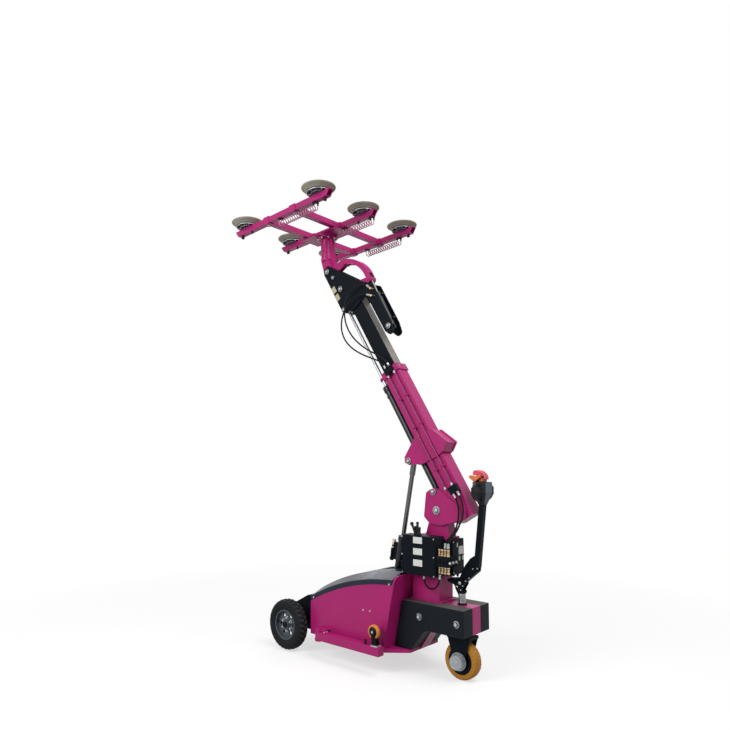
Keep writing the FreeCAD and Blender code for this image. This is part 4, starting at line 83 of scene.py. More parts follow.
Pair = tuple[float, float]
Place = tuple[float, float, float]
Outline = Sequence[Pair]
Spot = tuple[Sequence[float], Sequence[float]]
Colour = tuple[int, int, int]

MM = 0.001
MACHINE_X = -0.934041  # origin of the machine's frame, in metres
PIVOT_X, PIVOT_Z, LUFF = 220, 1170, 58.7  # pivot of the boom in the machine's frame, and its rise in degrees
TIP_X, TIP_Z, TILT = 2328, 65, 62.1  # pivot of the head in the boom's frame, and its turn in degrees
ROUND_OVER, SHARP_OVER = math.radians(35), math.radians(38)  # angles over which edges are rounded or sharp
SOFT_EDGE = 0.0022  # radius in metres to which materials soften edges
SEAT = 0.2  # gap under the foot of a fastener

OWN = Matrix.Scale(MM, 4)
MACHINE = Matrix.Translation((MACHINE_X, 0, 0)) @ OWN
BOOM = MACHINE @ Matrix.Translation((PIVOT_X, 0, PIVOT_Z)) @ Matrix.Rotation(math.radians(-LUFF), 4, "Y")
HEAD = BOOM @ Matrix.Translation((TIP_X, 0, TIP_Z)) @ Matrix.Rotation(math.radians(TILT), 4, "Y")
ORIGIN = Matrix.Identity(4)
LEFT, UP, AHEAD = (Vector(way) for way in ((0, 1, 0), (0, 0, 1), (1, 0, 0)))
SIDES = ((1, "left"), (-1, "right"))


# Finishes

@dataclass(frozen=True)
class Grain:
    """Size and depth of a surface's grain.

    Args:
        scale: grains per metre.
        depth: height of the grain in metres.
        stretch: how the grain runs along X, Y and Z.
        patch: patches of tone per metre.
    """

    scale: float
    depth: float
    stretch: Place = (1, 1, 1)
    patch: float = 6


class Surface(Enum):
    """Kinds of surface, each with its grain."""

    PAINT = Grain(420, 0.00006)
    CAST = Grain(260, 0.0005, patch=11)
    RUBBER = Grain(900, 0.00025, patch=14)
    METAL = Grain(700, 0.00005, (1, 1, 14), 9)
    PLASTIC = Grain(1600, 0.00012, patch=16)


@dataclass(frozen=True)
class Finish:
    """One finish, with the tone it wears to along its edges.

    Args:
        name: name of the material.
        surface: kind of surface.
        colour: screen colour from 0 to 255.
        rough: roughness.
        worn: screen colour along worn edges.
        slot: slot of the record that the finish stands for, or None where it has the material's name; not used.
        metallic: share of metal.
        coat: strength of a clear coat.
        gloss: strength of the sheen on what is not metal.
        wear: strength of the wear along edges.
        mottle: depth of the change of tone.
    """

    name: str
    surface: Surface
    colour: Colour
    rough: float
    worn: Colour
    slot: Optional[str] = None
    metallic: float = 0
    coat: float = 0
    gloss: float = 0.35
    wear: float = 0.3
    mottle: float = 0.1


PAINT, CAST, RUBBER, METAL, PLASTIC = Surface
MAGENTA = Finish("magenta_paint", PAINT, (168, 28, 106), 0.42, (206, 104, 156), coat=0.12, gloss=0.2, wear=0.5,
                 mottle=0.07)
BLACK = Finish("black_paint", PAINT, (11, 17, 24), 0.46, (66, 74, 84), gloss=0.06, wear=0.5, mottle=0.18)
BARREL = Finish("barrel_paint", PAINT, (13, 17, 22), 0.24, (70, 76, 84), "black_paint", coat=0.1, gloss=0.25,
                wear=0.4, mottle=0.14)
# Steel pipes, coloured magenta as a painted reflection of the boom around them.
REFLECTING_PIPE = Finish("pipe_steel", METAL, (132, 34, 92), 0.34, (176, 110, 146), "bright_steel", gloss=0.3)
HOOD_SHELL = Finish("hood_shell", PLASTIC, (26, 34, 50), 0.32, (110, 120, 132), "black_paint", gloss=0.2, wear=0.35,
                    mottle=0.14)
IRON = Finish("cast_iron", CAST, (20, 25, 31), 0.58, (74, 80, 86), "cast_weight", gloss=0.1, wear=0.5, mottle=0.2)
# Counterweight tops: dust, made paler again as painted light on the top faces.
DUST_AND_TOP_LIGHT_IRON = Finish("dusty_iron", CAST, (82, 82, 80), 0.62, (124, 124, 122), "cast_weight", gloss=0.15, wear=0.7,
                    mottle=0.26)
TYRE = Finish("tyre_rubber", RUBBER, (32, 33, 36), 0.8, (62, 62, 64), gloss=0.1, wear=0.25, mottle=0.22)
# Tread blocks: the tyre's own rubber, made paler as a painted highlight.
HIGHLIT_LUGS = Finish("tyre_lugs", RUBBER, (52, 53, 56), 0.85, (84, 84, 86), "tyre_rubber", gloss=0.1, mottle=0.24)
RIM = Finish("rim_paint", PAINT, (74, 81, 88), 0.46, (136, 140, 146), "rim_grey", gloss=0.2, wear=0.4, mottle=0.16)
TAN = Finish("tan_tread", RUBBER, (176, 120, 40), 0.52, (204, 166, 100), gloss=0.25, wear=0.4, mottle=0.14)
ORANGE_TREAD = Finish("orange_tread", RUBBER, (208, 128, 50), 0.48, (226, 172, 108), gloss=0.3, mottle=0.12)
STEEL = Finish("bright_steel", METAL, (158, 160, 162), 0.34, (196, 198, 200), metallic=1, mottle=0.14)
ZINC = Finish("zinc_washer", METAL, (178, 179, 181), 0.38, (220, 221, 222), "bright_steel", metallic=0.7, mottle=0.12)
CHROME = Finish("chromed_rod", METAL, (94, 98, 97), 0.2, (150, 152, 150), metallic=1, mottle=0.06)
BRASS = Finish("brass_fitting", METAL, (196, 172, 138), 0.34, (220, 204, 176), "bright_steel", metallic=1, mottle=0.16)
ALLOY = Finish("cast_alloy", CAST, (150, 155, 159), 0.44, (190, 194, 198), "alloy", metallic=0.8, mottle=0.16)
DARK_PLASTIC = Finish("black_plastic", PLASTIC, (24, 27, 31), 0.52, (66, 69, 74), gloss=0.2, mottle=0.12)
GREY_PLASTIC = Finish("grey_plastic", PLASTIC, (88, 97, 108), 0.5, (128, 136, 146), gloss=0.2, mottle=0.08)
ORANGE_PLASTIC = Finish("orange_plastic", PLASTIC, (222, 118, 66), 0.46, (238, 160, 116), mottle=0.09)
RED_PLASTIC = Finish("red_plastic", PLASTIC, (206, 74, 96), 0.44, (228, 130, 146), mottle=0.08)
HOSE = Finish("hose_rubber", RUBBER, (12, 14, 17), 0.5, (34, 36, 40), gloss=0.12, wear=0.1, mottle=0.12)
PAD = Finish("pad_rubber", RUBBER, (164, 160, 145), 0.68, (190, 187, 174), gloss=0.2, wear=0.35, mottle=0.14)
CURLY = Finish("curly_hose", PLASTIC, (194, 134, 164), 0.42, (220, 186, 202), "white_hose")
# Top faces of the inner boom: greased steel, made paler as a painted sheen.
GREASE_AND_SHEEN = Finish("greased_face", METAL, (122, 117, 112), 0.36, (160, 156, 150), "black_paint", gloss=0.5, mottle=0.2)
TAG = Finish("beige_tag", PAINT, (176, 172, 142), 0.5, (150, 146, 120), "alloy", mottle=0.08)
BLANK = Finish("blank_plate", PAINT, (220, 221, 214), 0.45, (180, 180, 174), "alloy", mottle=0.07)


class Graph:
    """A node tree under construction.

    Args:
        tree: the tree.
    """

    def __init__(self, tree: bpy.types.NodeTree) -> None:
        self.tree = tree

    def sockets(self, way: str, kinds: dict[str, str]) -> None:
        """Gives a group its named sockets on the INPUT or OUTPUT side."""
        for name, kind in kinds.items():
            self.tree.interface.new_socket(name, in_out=way, socket_type="NodeSocket" + kind)

    def fill(self, node: bpy.types.Node, inputs: dict[Union[str, int], Any]) -> bpy.types.Node:
        """Fills inputs of a node.

        Args:
            node: the node.
            inputs: a plain value or another node's output for each input, by name or position.

        Returns:
            The node.
        """
        for key, value in inputs.items():
            if isinstance(value, bpy.types.NodeSocket):
                self.tree.links.new(value, node.inputs[key])
            else:
                node.inputs[key].default_value = value
        return node

    def add(self, kind: str, inputs: Optional[dict[Union[str, int], Any]] = None, out: Union[str, int] = 0,
            **settings: Any) -> bpy.types.NodeSocket:
        """Adds a node.

        Args:
            kind: type of the node.
            inputs: what fills its inputs.
            out: name or position of the output to give back.
            settings: its other settings.

        Returns:
            One of its outputs.
        """
        node = self.tree.nodes.new(kind)
        for name, value in settings.items():
            setattr(node, name, value)
        return self.fill(node, inputs or {}).outputs[out]

    def calc(self, operation: str, *values: Any) -> bpy.types.NodeSocket:
        """Result of a sum on numbers and outputs."""
        return self.add("ShaderNodeMath", dict(enumerate(values)), operation=operation)

    def remap(self, value: bpy.types.NodeSocket, *limits: float) -> bpy.types.NodeSocket:
        """A value carried from between two limits to between two others."""
        return self.add("ShaderNodeMapRange", dict(enumerate((value, *limits))))


class Finishes:
    """Makes materials from finishes, each once, around one shared node group."""

    def __init__(self) -> None:
        self._made: dict[str, bpy.types.Material] = {}
        self._detail = self._detail_group()

    @staticmethod
    def _linear(colour: Colour) -> tuple[float, float, float, float]:
        """Turns a screen colour into scene light."""
        shares = (part / 255 for part in colour)
        return (*(s / 12.92 if s <= 0.04045 else ((s + 0.055) / 1.055) ** 2.4 for s in shares), 1)

    @staticmethod
    def _detail_group() -> bpy.types.ShaderNodeTree:
        """Patches of tone, fine grain, softened edges and the wear along them.

        Returns:
            The node group, with colour, roughness and normal as outputs.
        """
        graph = Graph(bpy.data.node_groups.new("surface_detail", "ShaderNodeTree"))
        numbers = dict.fromkeys(("Wear", "Mottle", "Patch", "Rough", "Scale", "Depth"), "Float")
        graph.sockets("INPUT", {"Colour": "Color", "Worn": "Color", **numbers, "Stretch": "Vector"})
        graph.sockets("OUTPUT", {"Colour": "Color", "Roughness": "Float", "Normal": "Vector"})
        given = graph.tree.nodes.new("NodeGroupInput").outputs
        coord = graph.add("ShaderNodeTexCoord", out="Object")

        patch = graph.add("ShaderNodeTexNoise", {"Vector": coord, "Scale": given["Patch"], "Detail": 6})
        spread = graph.remap(patch, 0.25, 0.75, -1, 1)
        value = graph.calc("MULTIPLY_ADD", spread, given["Mottle"], 1)
        tone = graph.add("ShaderNodeHueSaturation", {"Color": given["Colour"], "Value": value})
        rough = graph.calc("MULTIPLY_ADD", spread, 0.07, given["Rough"])

        soft = graph.add("ShaderNodeBevel", {"Radius": SOFT_EDGE}, samples=4)
        flat = graph.add("ShaderNodeNewGeometry", out="Normal")
        turn = graph.add("ShaderNodeVectorMath", {0: soft, 1: flat}, "Value", operation="DOT_PRODUCT")
        edge = graph.remap(turn, 0.992, 0.86, 0, 1)
        rubbed = graph.add("ShaderNodeTexNoise", {"Vector": coord, "Scale": 90, "Detail": 4})
        mask = graph.calc("MULTIPLY", edge, graph.remap(rubbed, 0.4, 0.62, 0, 1))
        mask = graph.calc("MULTIPLY", mask, given["Wear"])
        mixed = graph.add("ShaderNodeMix", {"Factor": mask, "A": tone, "B": given["Worn"]}, "Result", data_type="RGBA")

        stretched = graph.add("ShaderNodeVectorMath", {0: coord, 1: given["Stretch"]}, operation="MULTIPLY")
        grain = graph.add("ShaderNodeTexNoise", {"Vector": stretched, "Scale": given["Scale"], "Detail": 3})
        bump = graph.add("ShaderNodeBump", {"Height": grain, "Distance": given["Depth"], "Normal": soft})
        graph.fill(graph.tree.nodes.new("NodeGroupOutput"), {"Colour": mixed, "Roughness": rough, "Normal": bump})
        return graph.tree

    def material(self, finish: Finish) -> bpy.types.Material:
        """Gives the material of a finish, made once.

        Args:
            finish: the finish.

        Returns:
            Its material.
        """
        if finish.name not in self._made:
            material = bpy.data.materials.new(finish.name)
            material.use_nodes = True
            graph, grain = Graph(material.node_tree), finish.surface.value
            detail = graph.tree.nodes.new("ShaderNodeGroup")
            detail.node_tree = self._detail
            graph.fill(detail, {
                "Colour": self._linear(finish.colour), "Worn": self._linear(finish.worn), "Wear": finish.wear,
                "Mottle": finish.mottle, "Patch": grain.patch, "Rough": finish.rough, "Scale": grain.scale,
                "Depth": grain.depth, "Stretch": grain.stretch})
            made = detail.outputs
            graph.fill(graph.tree.nodes["Principled BSDF"], {
                "Metallic": finish.metallic, "Specular IOR Level": finish.gloss, "Coat Weight": finish.coat,
                "Coat Roughness": 0.2, "Base Color": made["Colour"], "Roughness": made["Roughness"],
                "Normal": made["Normal"]})
            self._made[finish.name] = material
        return self._made[finish.name]


# Mesh making

def facing(point: Sequence[float], way: Sequence[float]) -> Matrix:
    """A local frame at a point with its Z along a direction."""
    return Matrix.Translation(point) @ Vector(way).to_track_quat("Z", "Y").to_matrix().to_4x4()


def ring(count: int, radius: float, start: float = 0) -> list[Pair]:
    """Points evenly round a circle."""
    turns = (start + 2 * math.pi * i / count for i in range(count))
    return [(radius * math.cos(turn), radius * math.sin(turn)) for turn in turns]


def both(y: float, *places: Pair) -> list[Spot]:
    """Spots at (x, z) places that look outwards from the left side and the right one."""
    return [((x, side * y, z), LEFT * side) for side, _ in SIDES for x, z in places]


def mirrored(half: Sequence[Pair], middle: int = 0) -> list[Pair]:
    """A profile followed by its mirror image in the height, except for some points in the middle."""
    return [*half, *((radius, -height) for radius, height in reversed(half[:len(half) - middle]))]


class Mould:
    """A mesh under construction in one local frame. What adds to it gives the mould back.

    Args:
        place: the local frame, which turns millimetres into metres.
    """

    def __init__(self, place: Matrix = MACHINE) -> None:
        self.place = place
        self.shape = bmesh.new()

    def rings(self, loops: Sequence[Sequence[Vector]], closed: bool = False) -> Mould:
        """Joins loops of points with faces, and closes the two ends or the last loop to the first.

        Args:
            loops: loops with equally many points.
            closed: whether the loops run round in a ring.

        Returns:
            The mould.
        """
        made = [[self.shape.verts.new(point) for point in loop] for loop in loops]
        for low, high in zip(made, made[1:] + made[:1] if closed else made[1:]):
            for i, corner in enumerate(low):
                j = (i + 1) % len(low)
                self.shape.faces.new((corner, low[j], high[j], high[i]))
        if not closed:
            self.shape.faces.new(list(reversed(made[0])))
            self.shape.faces.new(made[-1])
        return self

    def turned(self, profile: Outline, spot: Matrix = ORIGIN, steps: int = 40, closed: bool = False) -> Mould:
        """Adds a turned body.

        Args:
            profile: (radius, height) points.
            spot: frame whose Z is the axis.
            steps: points round the axis.
            closed: whether the profile closes on itself.

        Returns:
            The mould.
        """
        return self.rings([[spot @ Vector((*point, height)) for point in ring(steps, radius)]
                           for radius, height in profile], closed)

    def slab(self, outline: Outline, low: float, high: float, spot: Matrix = ORIGIN) -> Mould:
        """Adds a plate cut to an outline in a frame's XY, between two heights."""
        return self.rings([[spot @ Vector((x, y, z)) for x, y in outline] for z in (low, high)])

    def block(self, low: Place, high: Place) -> Mould:
        """Adds a block between two corners."""
        outline = ((low[0], low[1]), (high[0], low[1]), (high[0], high[1]), (low[0], high[1]))
        return self.slab(outline, low[2], high[2])

    def hex_nut(self, spot: Matrix, across: float, height: float) -> Mould:
        """Adds a hexagon with a chamfered top on a frame's XY.

        Args:
            spot: the frame.
            across: width across its flats.
            height: its height.

        Returns:
            The mould.
        """
        radius = across / math.sqrt(3)
        return self.rings([[spot @ Vector((*p, z)) for p in ring(6, r)]
                           for r, z in ((radius, 0), (radius, height * 0.82), (radius * 0.86, height))])

    def mesh(self, name: str) -> bpy.types.Mesh:
        """Turns the mould into a mesh in metres.

        Args:
            name: name of the mesh.

        Returns:
            The mesh.
        """
        self.shape.transform(self.place)
        bmesh.ops.recalc_face_normals(self.shape, faces=self.shape.faces)
        mesh = bpy.data.meshes.new(name)
        self.shape.to_mesh(mesh)
        self.shape.free()
        return mesh


def bolt(radius: float, height: float, washer: float) -> Mould:
    """A hexagon bolt head on a round washer, about its own origin.

    Args:
        radius: half the width of the head.
        height: height of the head with its washer.
        washer: radius of the washer.

    Returns:
        The part as a mould.
    """
    thick = height * 0.35
    mould = Mould(OWN).turned(((washer * 0.4, 0), (washer, 0), (washer, thick * 0.8), (washer * 0.95, thick),
                               (washer * 0.4, thick)), steps=28)
    mould.hex_nut(Matrix.Translation((0, 0, thick)), radius * 1.8, height - thick)
    return mould.turned(((radius * 0.45, height * 0.9), (radius * 0.45, height * 1.15), (radius * 0.36, height * 1.22)),
                        steps=16)


def screw(radius: float, height: float) -> Mould:
    """A round screw head with a socket, about its own origin."""
    return Mould(OWN).turned(((radius, 0), (radius, height * 0.6), (radius * 0.8, height), (radius * 0.45, height),
                              (radius * 0.42, height * 0.5), (radius * 0.1, height * 0.45)), steps=20)


class Workshop:
    """Puts finished pieces into the scene, each on its body.

    Args:
        frame: the loaded frame.
    """

    def __init__(self, frame: dict) -> None:
        self.nodes: dict[str, bpy.types.Object] = frame["nodes"]
        self.finishes = Finishes()
        self._scatter = self._scatter_group()

    def add(self, name: str, mesh: bpy.types.Mesh, finish: Finish, body: Optional[str], bevel: float = 0,
            instead_of: Sequence[str] = ()) -> bpy.types.Object:
        """Adds a mesh as a piece.

        Args:
            name: name of the piece.
            mesh: its mesh in metres.
            finish: its finish.
            body: body that it rides on, or None where it rides on none.
            bevel: width of its rounded edges in millimetres.
            instead_of: CAD nodes that it stands for.

        Returns:
            The new object.
        """
        mesh.materials.clear()
        mesh.materials.append(self.finishes.material(finish))
        mesh.shade_smooth()
        piece = bpy.data.objects.new(name, mesh)
        bpy.context.scene.collection.objects.link(piece)
        if bevel:
            edge = piece.modifiers.new("edges", "BEVEL")
            edge.width, edge.segments, edge.limit_method = bevel * MM, 2, "ANGLE"
            edge.angle_limit = ROUND_OVER
            piece.modifiers.new("flats", "WEIGHTED_NORMAL").keep_sharp = True
        else:
            mesh.set_sharp_from_angle(angle=SHARP_OVER)
        if body:
            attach(piece, body)
        if instead_of:
            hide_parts(*instead_of)
        LOG.info("%s in %s", name, finish.name)
        return piece

    def cast(self, name: str, mould: Mould, finish: Finish, body: str = "base", **options: Any) -> bpy.types.Object:
        """Adds a mould as a piece, with the options of add."""
        return self.add(name, mould.mesh(name), finish, body, **options)

    def dress(self, finish: Finish, *nodes: str) -> None:
        """Gives CAD nodes a finish.

        Args:
            finish: the finish.
            nodes: names of the nodes.
        """
        for node in nodes:
            self.nodes[node].data.materials.clear()
            self.nodes[node].data.materials.append(self.finishes.material(finish))

    def paint(self, node: str, finish: Finish, *rules: tuple[Finish, Callable[[Vector], bool]],
              place: Matrix = MACHINE) -> None:
        """Gives a CAD node a finish, and some of its faces another one.

        Args:
            node: name of the node.
            finish: finish of the node.
            rules: other finishes, each with its test of a face's middle. The first test that holds decides.
            place: frame in which the tests read a face's middle.
        """
        self.dress(finish, node)
        mesh, back, slots = self.nodes[node].data, place.inverted(), {finish.name: 0}
        for face in mesh.polygons:
            middle = back @ face.center
            found = next((other for other, holds in rules if holds(middle)), finish)
            if found.name not in slots:
                slots[found.name] = len(mesh.materials)
                mesh.materials.append(self.finishes.material(found))
            face.material_index = slots[found.name]

    @staticmethod
    def _scatter_group() -> bpy.types.GeometryNodeTree:
        """Node group that puts a part on every point of a mesh, with its Z along the point's facing.

        Returns:
            The node group.
        """
        graph = Graph(bpy.data.node_groups.new("repeat_part", "GeometryNodeTree"))
        graph.sockets("INPUT", {"Geometry": "Geometry", "Part": "Object", "Material": "Material"})
        graph.sockets("OUTPUT", {"Geometry": "Geometry"})
        given = graph.tree.nodes.new("NodeGroupInput").outputs
        part = graph.add("GeometryNodeObjectInfo", {"Object": given["Part"]}, "Geometry")
        way = graph.add("GeometryNodeInputNamedAttribute", {"Name": "facing"}, "Attribute", data_type="FLOAT_VECTOR")
        turn = graph.add("FunctionNodeAlignRotationToVector", {"Vector": way}, "Rotation", axis="Z")
        put = graph.add("GeometryNodeInstanceOnPoints",
                        {"Points": given["Geometry"], "Instance": part, "Rotation": turn}, "Instances")
        whole = graph.add("GeometryNodeRealizeInstances", {"Geometry": put})
        paint = graph.add("GeometryNodeSetMaterial", {"Geometry": whole, "Material": given["Material"]})
        graph.fill(graph.tree.nodes.new("NodeGroupOutput"), {"Geometry": paint})
        return graph.tree

    def repeat(self, name: str, part: Mould, spots: Iterable[Spot], finish: Finish = ZINC, body: str = "base",
               place: Matrix = MACHINE, bevel: float = 0) -> bpy.types.Object:
        """Repeats a small part over many spots.

        Args:
            name: name of the piece.
            part: the part, drawn about its own origin with Z outwards.
            spots: (point, direction) pairs in a local frame.
            finish: finish of the parts.
            body: body that they ride on.
            place: that local frame.
            bevel: width of their rounded edges in millimetres.

        Returns:
            One object with all the parts.
        """
        points, ways = zip(*spots)
        turn = place.to_3x3().normalized()
        seeds = bpy.data.meshes.new(name + "_seeds")
        seeds.from_pydata([place @ Vector(point) for point in points], [], [])
        seeds.attributes.new("facing", "FLOAT_VECTOR", "POINT")
        for item, way in zip(seeds.attributes["facing"].data, ways):
            item.vector = (turn @ Vector(way)).normalized()
        sample = bpy.data.objects.new(name + "_part", part.mesh(name + "_part"))
        holder = bpy.data.objects.new(name + "_points", seeds)
        nodes = holder.modifiers.new("repeat", "NODES")
        nodes.node_group = self._scatter
        sockets = {item.name: item.identifier for item in self._scatter.interface.items_tree if item.in_out == "INPUT"}
        nodes[sockets["Part"]] = sample
        nodes[sockets["Material"]] = self.finishes.material(finish)
        mesh = self._evaluated(holder, name)
        bpy.data.objects.remove(sample)
        return self.add(name, mesh, finish, body, bevel)

    @staticmethod
    def _evaluated(piece: bpy.types.Object, name: str) -> bpy.types.Mesh:
        """Turns an object into the mesh that its modifiers or curve make, and removes it.

        Args:
            piece: the object.
            name: name of the mesh.

        Returns:
            The mesh.
        """
        bpy.context.scene.collection.objects.link(piece)
        graph = bpy.context.evaluated_depsgraph_get()
        mesh = bpy.data.meshes.new_from_object(piece.evaluated_get(graph))
        bpy.data.objects.remove(piece)
        mesh.name = name
        return mesh

    def pins(self, name: str, sizes: Place, spots: Sequence[Spot], place: Matrix, body: str) -> None:
        """Puts pale bolts on the ends of pins, each with a dark ring of painted shade round its head.

        Args:
            name: name of the piece.
            sizes: radius and height of the head, and radius of its washer.
            spots: (point, direction) pairs in a local frame.
            place: that local frame.
            body: body that they ride on.
        """
        radius, height, washer = sizes
        self.repeat(name, bolt(*sizes), spots, ZINC, body, place, 0.5)
        near, far, low, high = radius * 1.1, washer * 0.84, height * 0.3, height * 0.35 + 0.5
        # A dark ring round each head: painted shade in the gap under it.
        shade_ring = Mould(OWN).turned(((near, low), (far, low), (far, high), (near, high)), steps=28, closed=True)
        self.repeat(name + "_joints", shade_ring, spots, DARK_PLASTIC, body, place)

    def tube(self, name: str, points: Sequence[Vector], radius: float) -> bpy.types.Mesh:
        """Draws a smooth tube along a route.

        Args:
            name: name of the mesh.
            points: control points in metres.
            radius: radius of the tube in metres, or 0 for the bare line.

        Returns:
            The tube as a mesh.
        """
        curve = bpy.data.curves.new(name, "CURVE")
        curve.dimensions, curve.resolution_u = "3D", 6
        line = curve.splines.new("NURBS")
        line.points.add(len(points) - 1)
        for knot, point in zip(line.points, points):
            knot.co = (*point, 1)
        line.order_u, line.use_endpoint_u = 3, True
        curve.bevel_depth, curve.bevel_resolution, curve.use_fill_caps = radius, 4, radius > 0
        return self._evaluated(bpy.data.objects.new(name, curve), name)

    def declare(self, hose: bpy.types.Object, points: Sequence[Vector], radius: float, stiffness: str,
                lay: str) -> None:
        """Says that a piece is a hose that goes back into the object.

        Args:
            hose: the piece.
            points: control points of its route in metres.
            radius: radius of the hose in metres; not used.
            stiffness: how stiff it is; not used.
            lay: how it lies; not used.
        """
        bare = self.tube(hose.name + "_line", points, 0)
        bpy.data.meshes.remove(bare)


# Sub-assemblies

@dataclass
class Wheels:
    """Front wheels, drive wheel and castors."""

    shop: Workshop
    front_x: float = 1500
    front_y: float = 360
    front_radius: float = 200
    front_half: float = 48
    rim_face: float = 12
    nut_circle: float = 50.7
    lugs: int = 30
    castor_trail: float = 16
    castor_top: float = 210
    drive_x: float = 57
    drive_radius: float = 133
    drive_half: float = 39.8
    grooves: int = 32
    groove_deep: float = 4.6
    groove_slant: float = 0.034
    groove_share: float = 0.28
    motor_flange_y: float = 64.2

    def build(self) -> None:
        """Makes every wheel."""
        for side, name in SIDES:
            self._front(side, name)
            self._castor(name)
        self._drive()
        self._motor()

    def _front(self, side: int, name: str) -> None:
        """One air-filled tyre with two rows of blocks, and what shows of its rim.

        Args:
            side: 1 on the left and -1 on the right.
            name: name of that side.
        """
        shop, body, half = self.shop, name + "_wheel", self.front_half
        centre = Vector((self.front_x, side * self.front_y, self.front_radius))
        axle = facing(centre, LEFT)
        walls = ((118.2, 37), (122, 41), (128, 41.5), (131, 43.5), (148, 47.2), (164, 47.8), (178, 45), (187, 38),
                 (190.5, 26), (191.5, 12))
        tyre = Mould().turned(mirrored(walls), axle, 96, True)
        tyre.turned(((150, half - 1.2), (152, half + 0.4), (155, half + 0.4), (157, half - 1.2)), axle, 96, True)
        shop.cast(name + "_tyre", tyre, TYRE, body, instead_of=(name + "_front_tyre",))
        outline = ((-13, 3), (-4, 3), (7, 15), (14, 32), (14, 40), (-2, 40), (-5, 30), (-13, 14))
        sunk, level, fall = 1.5, 14, 56
        root, shoulder, extra = 12, 30, 9
        for row in (1, -1):
            tops = [Vector((x, row * y, -sunk - max(0, y - level) ** 2 / fall)) for x, y in outline]
            feet = [Vector((x, y, -root - (abs(y) > shoulder) * extra)) for x, y, _ in tops]
            start = math.pi / self.lugs if row > 0 else 0
            ways = [Vector((x, 0, z)) for x, z in ring(self.lugs, 1, start)]
            # The tread blocks take the paler rubber, a painted highlight.
            shop.repeat("%s_tread_%s" % (name, "outer" if row == side else "inner"), Mould(OWN).rings([feet, tops]),
                        [(centre + way * self.front_radius, way) for way in ways], HIGHLIT_LUGS, body, bevel=1.2)
        face = centre + LEFT * side * self.rim_face
        out = facing(face, LEFT * side)
        hub = Mould().turned(((40, 0), (40, 6), (36.5, 9), (36.5, 20.5), (35, 21.5)), out, 48)
        hub.turned(((116, 24), (117, 27.5), (112, 28.5), (108.5, 26), (107.5, 4), (109, 2)), out, 72, True)
        shop.cast(name + "_rim_trim", hub, RIM, body, bevel=0.8)
        places = ring(6, self.nut_circle, math.pi / 6)
        spots = [(face + Vector((x, side * SEAT, z)), LEFT * side) for x, z in places]
        shop.repeat(name + "_wheel_nuts", bolt(9.5, 15, 14), spots, ZINC, body, bevel=0.5)
        valve = Mould().turned(((5, 0), (4, 6), (3.2, 16), (3.6, 17), (3.6, 24), (2.4, 26)),
                               facing(face + Vector((96, side, 12)), (0.2, side, 0)), 18)
        shop.cast(name + "_tyre_valve", valve, DARK_PLASTIC, body)

    def _castor(self, name: str) -> None:
        """An orange wheel with a dark core, and the hardware of its fork.

        Args:
            name: name of its side.
        """
        shop, castor, carrier = self.shop, name + "_castor", name + "_carrier"
        wheel = castor + "_wheel"
        low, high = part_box(wheel)
        middle = MACHINE.inverted() @ ((low + high) / 2)
        axle = facing(middle, LEFT)
        tread = mirrored(((35, -13.4), (44, -13.6), (48, -11), (49.6, -6.5), (50, 0)), 1)
        shop.cast(castor + "_tread", Mould().turned(tread, axle, 64, True), ORANGE_TREAD, wheel, instead_of=(wheel,))
        core = mirrored(((6.2, -14), (13, -14), (14, -9), (30, -8), (32, -12.6), (35, -13)))
        shop.cast(castor + "_core", Mould().turned(core, axle, 48, True), DARK_PLASTIC, wheel, instead_of=(wheel,))
        spots = [(middle + LEFT * side * 20, LEFT * side) for side, _ in SIDES]
        shop.repeat(castor + "_nuts", bolt(8, 7, 10), spots, STEEL, castor + "_fork", bevel=0.4)
        base = Vector((middle.x - self.castor_trail, middle.y, self.castor_top))
        spot, thick = Matrix.Translation(base), 4
        flange = Mould().slab(((-30, -27), (30, -27), (30, 27), (-30, 27)), SEAT, thick, spot)
        flange.turned(((27, thick), (28.5, 6), (28.5, 8), (24, 9.6), (22.2, 9.6), (22.2, thick)), spot, 36, True)
        shop.cast(castor + "_flange", flange, ZINC, carrier, bevel=0.8)
        spots = [(base + Vector((x, y, thick)), UP) for x in (-24, 24) for y in (-21, 21)]
        shop.repeat(castor + "_bolts", bolt(4.5, 4, 6), spots, STEEL, carrier)

    def _drive(self) -> None:
        """The drive wheel's tread, cut by slanting grooves."""
        axle = facing((self.drive_x, 0, self.drive_radius), LEFT)
        half, outer, steps, root, band = self.drive_half, self.drive_radius, 288, 126, 9
        sections = mirrored(((94.2, -half), (112, -half), (120, 0.8 - half), (127, 4 - half), (130.5, 8.5 - half),
                             (132.2, 15 - half), (outer, 22 - half), (outer, -8), (outer, 8)), 2)
        loops = []
        for radius, height in sections:
            loop = []
            for i, (x, y) in enumerate(ring(steps, 1)):
                share = (i * self.grooves / steps + abs(height) * self.groove_slant) % 1
                cut = share < self.groove_share and radius > root and abs(height) > band
                reach = radius - (self.groove_deep if cut else 0)
                loop.append(axle @ Vector((reach * x, reach * y, height)))
            loops.append(loop)
        self.shop.cast("drive_tread", Mould().rings(loops, True), TAN, "drive_wheel", instead_of=("drive_tyre",))

    def _motor(self) -> None:
        """Cover, ribs and bolts of the hub motor."""
        shop = self.shop
        face = (MACHINE.inverted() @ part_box("hub_motor")[1]).y
        spot = facing((self.drive_x, face, self.drive_radius), LEFT)
        cover = Mould().turned(((50.4, -3), (50.4, 1), (48, 3), (40, 3.6), (38.5, 2.2), (22, 2.2), (20.5, 5), (12, 6),
                                (3, 6.2)), spot, 56)
        for back in (-12, -20, -28):
            cover.turned(((50.1, back), (52.4, back + 0.8), (52.4, back + 3.2), (50.1, back + 4)), spot, 56, True)
        shop.cast("motor_cover", cover, ALLOY, "steering", bevel=0.6)
        for name, part, y, places in (("motor_screws", screw(3.6, 4), face + 2.6, ring(6, 44, 0.3)),
                                      ("motor_flange_bolts", bolt(4.2, 4.5, 5.4), self.motor_flange_y, ring(6, 56))):
            spots = [((self.drive_x + x, y, self.drive_radius + z), LEFT) for x, z in places]
            shop.repeat(name, part, spots, STEEL, "steering")


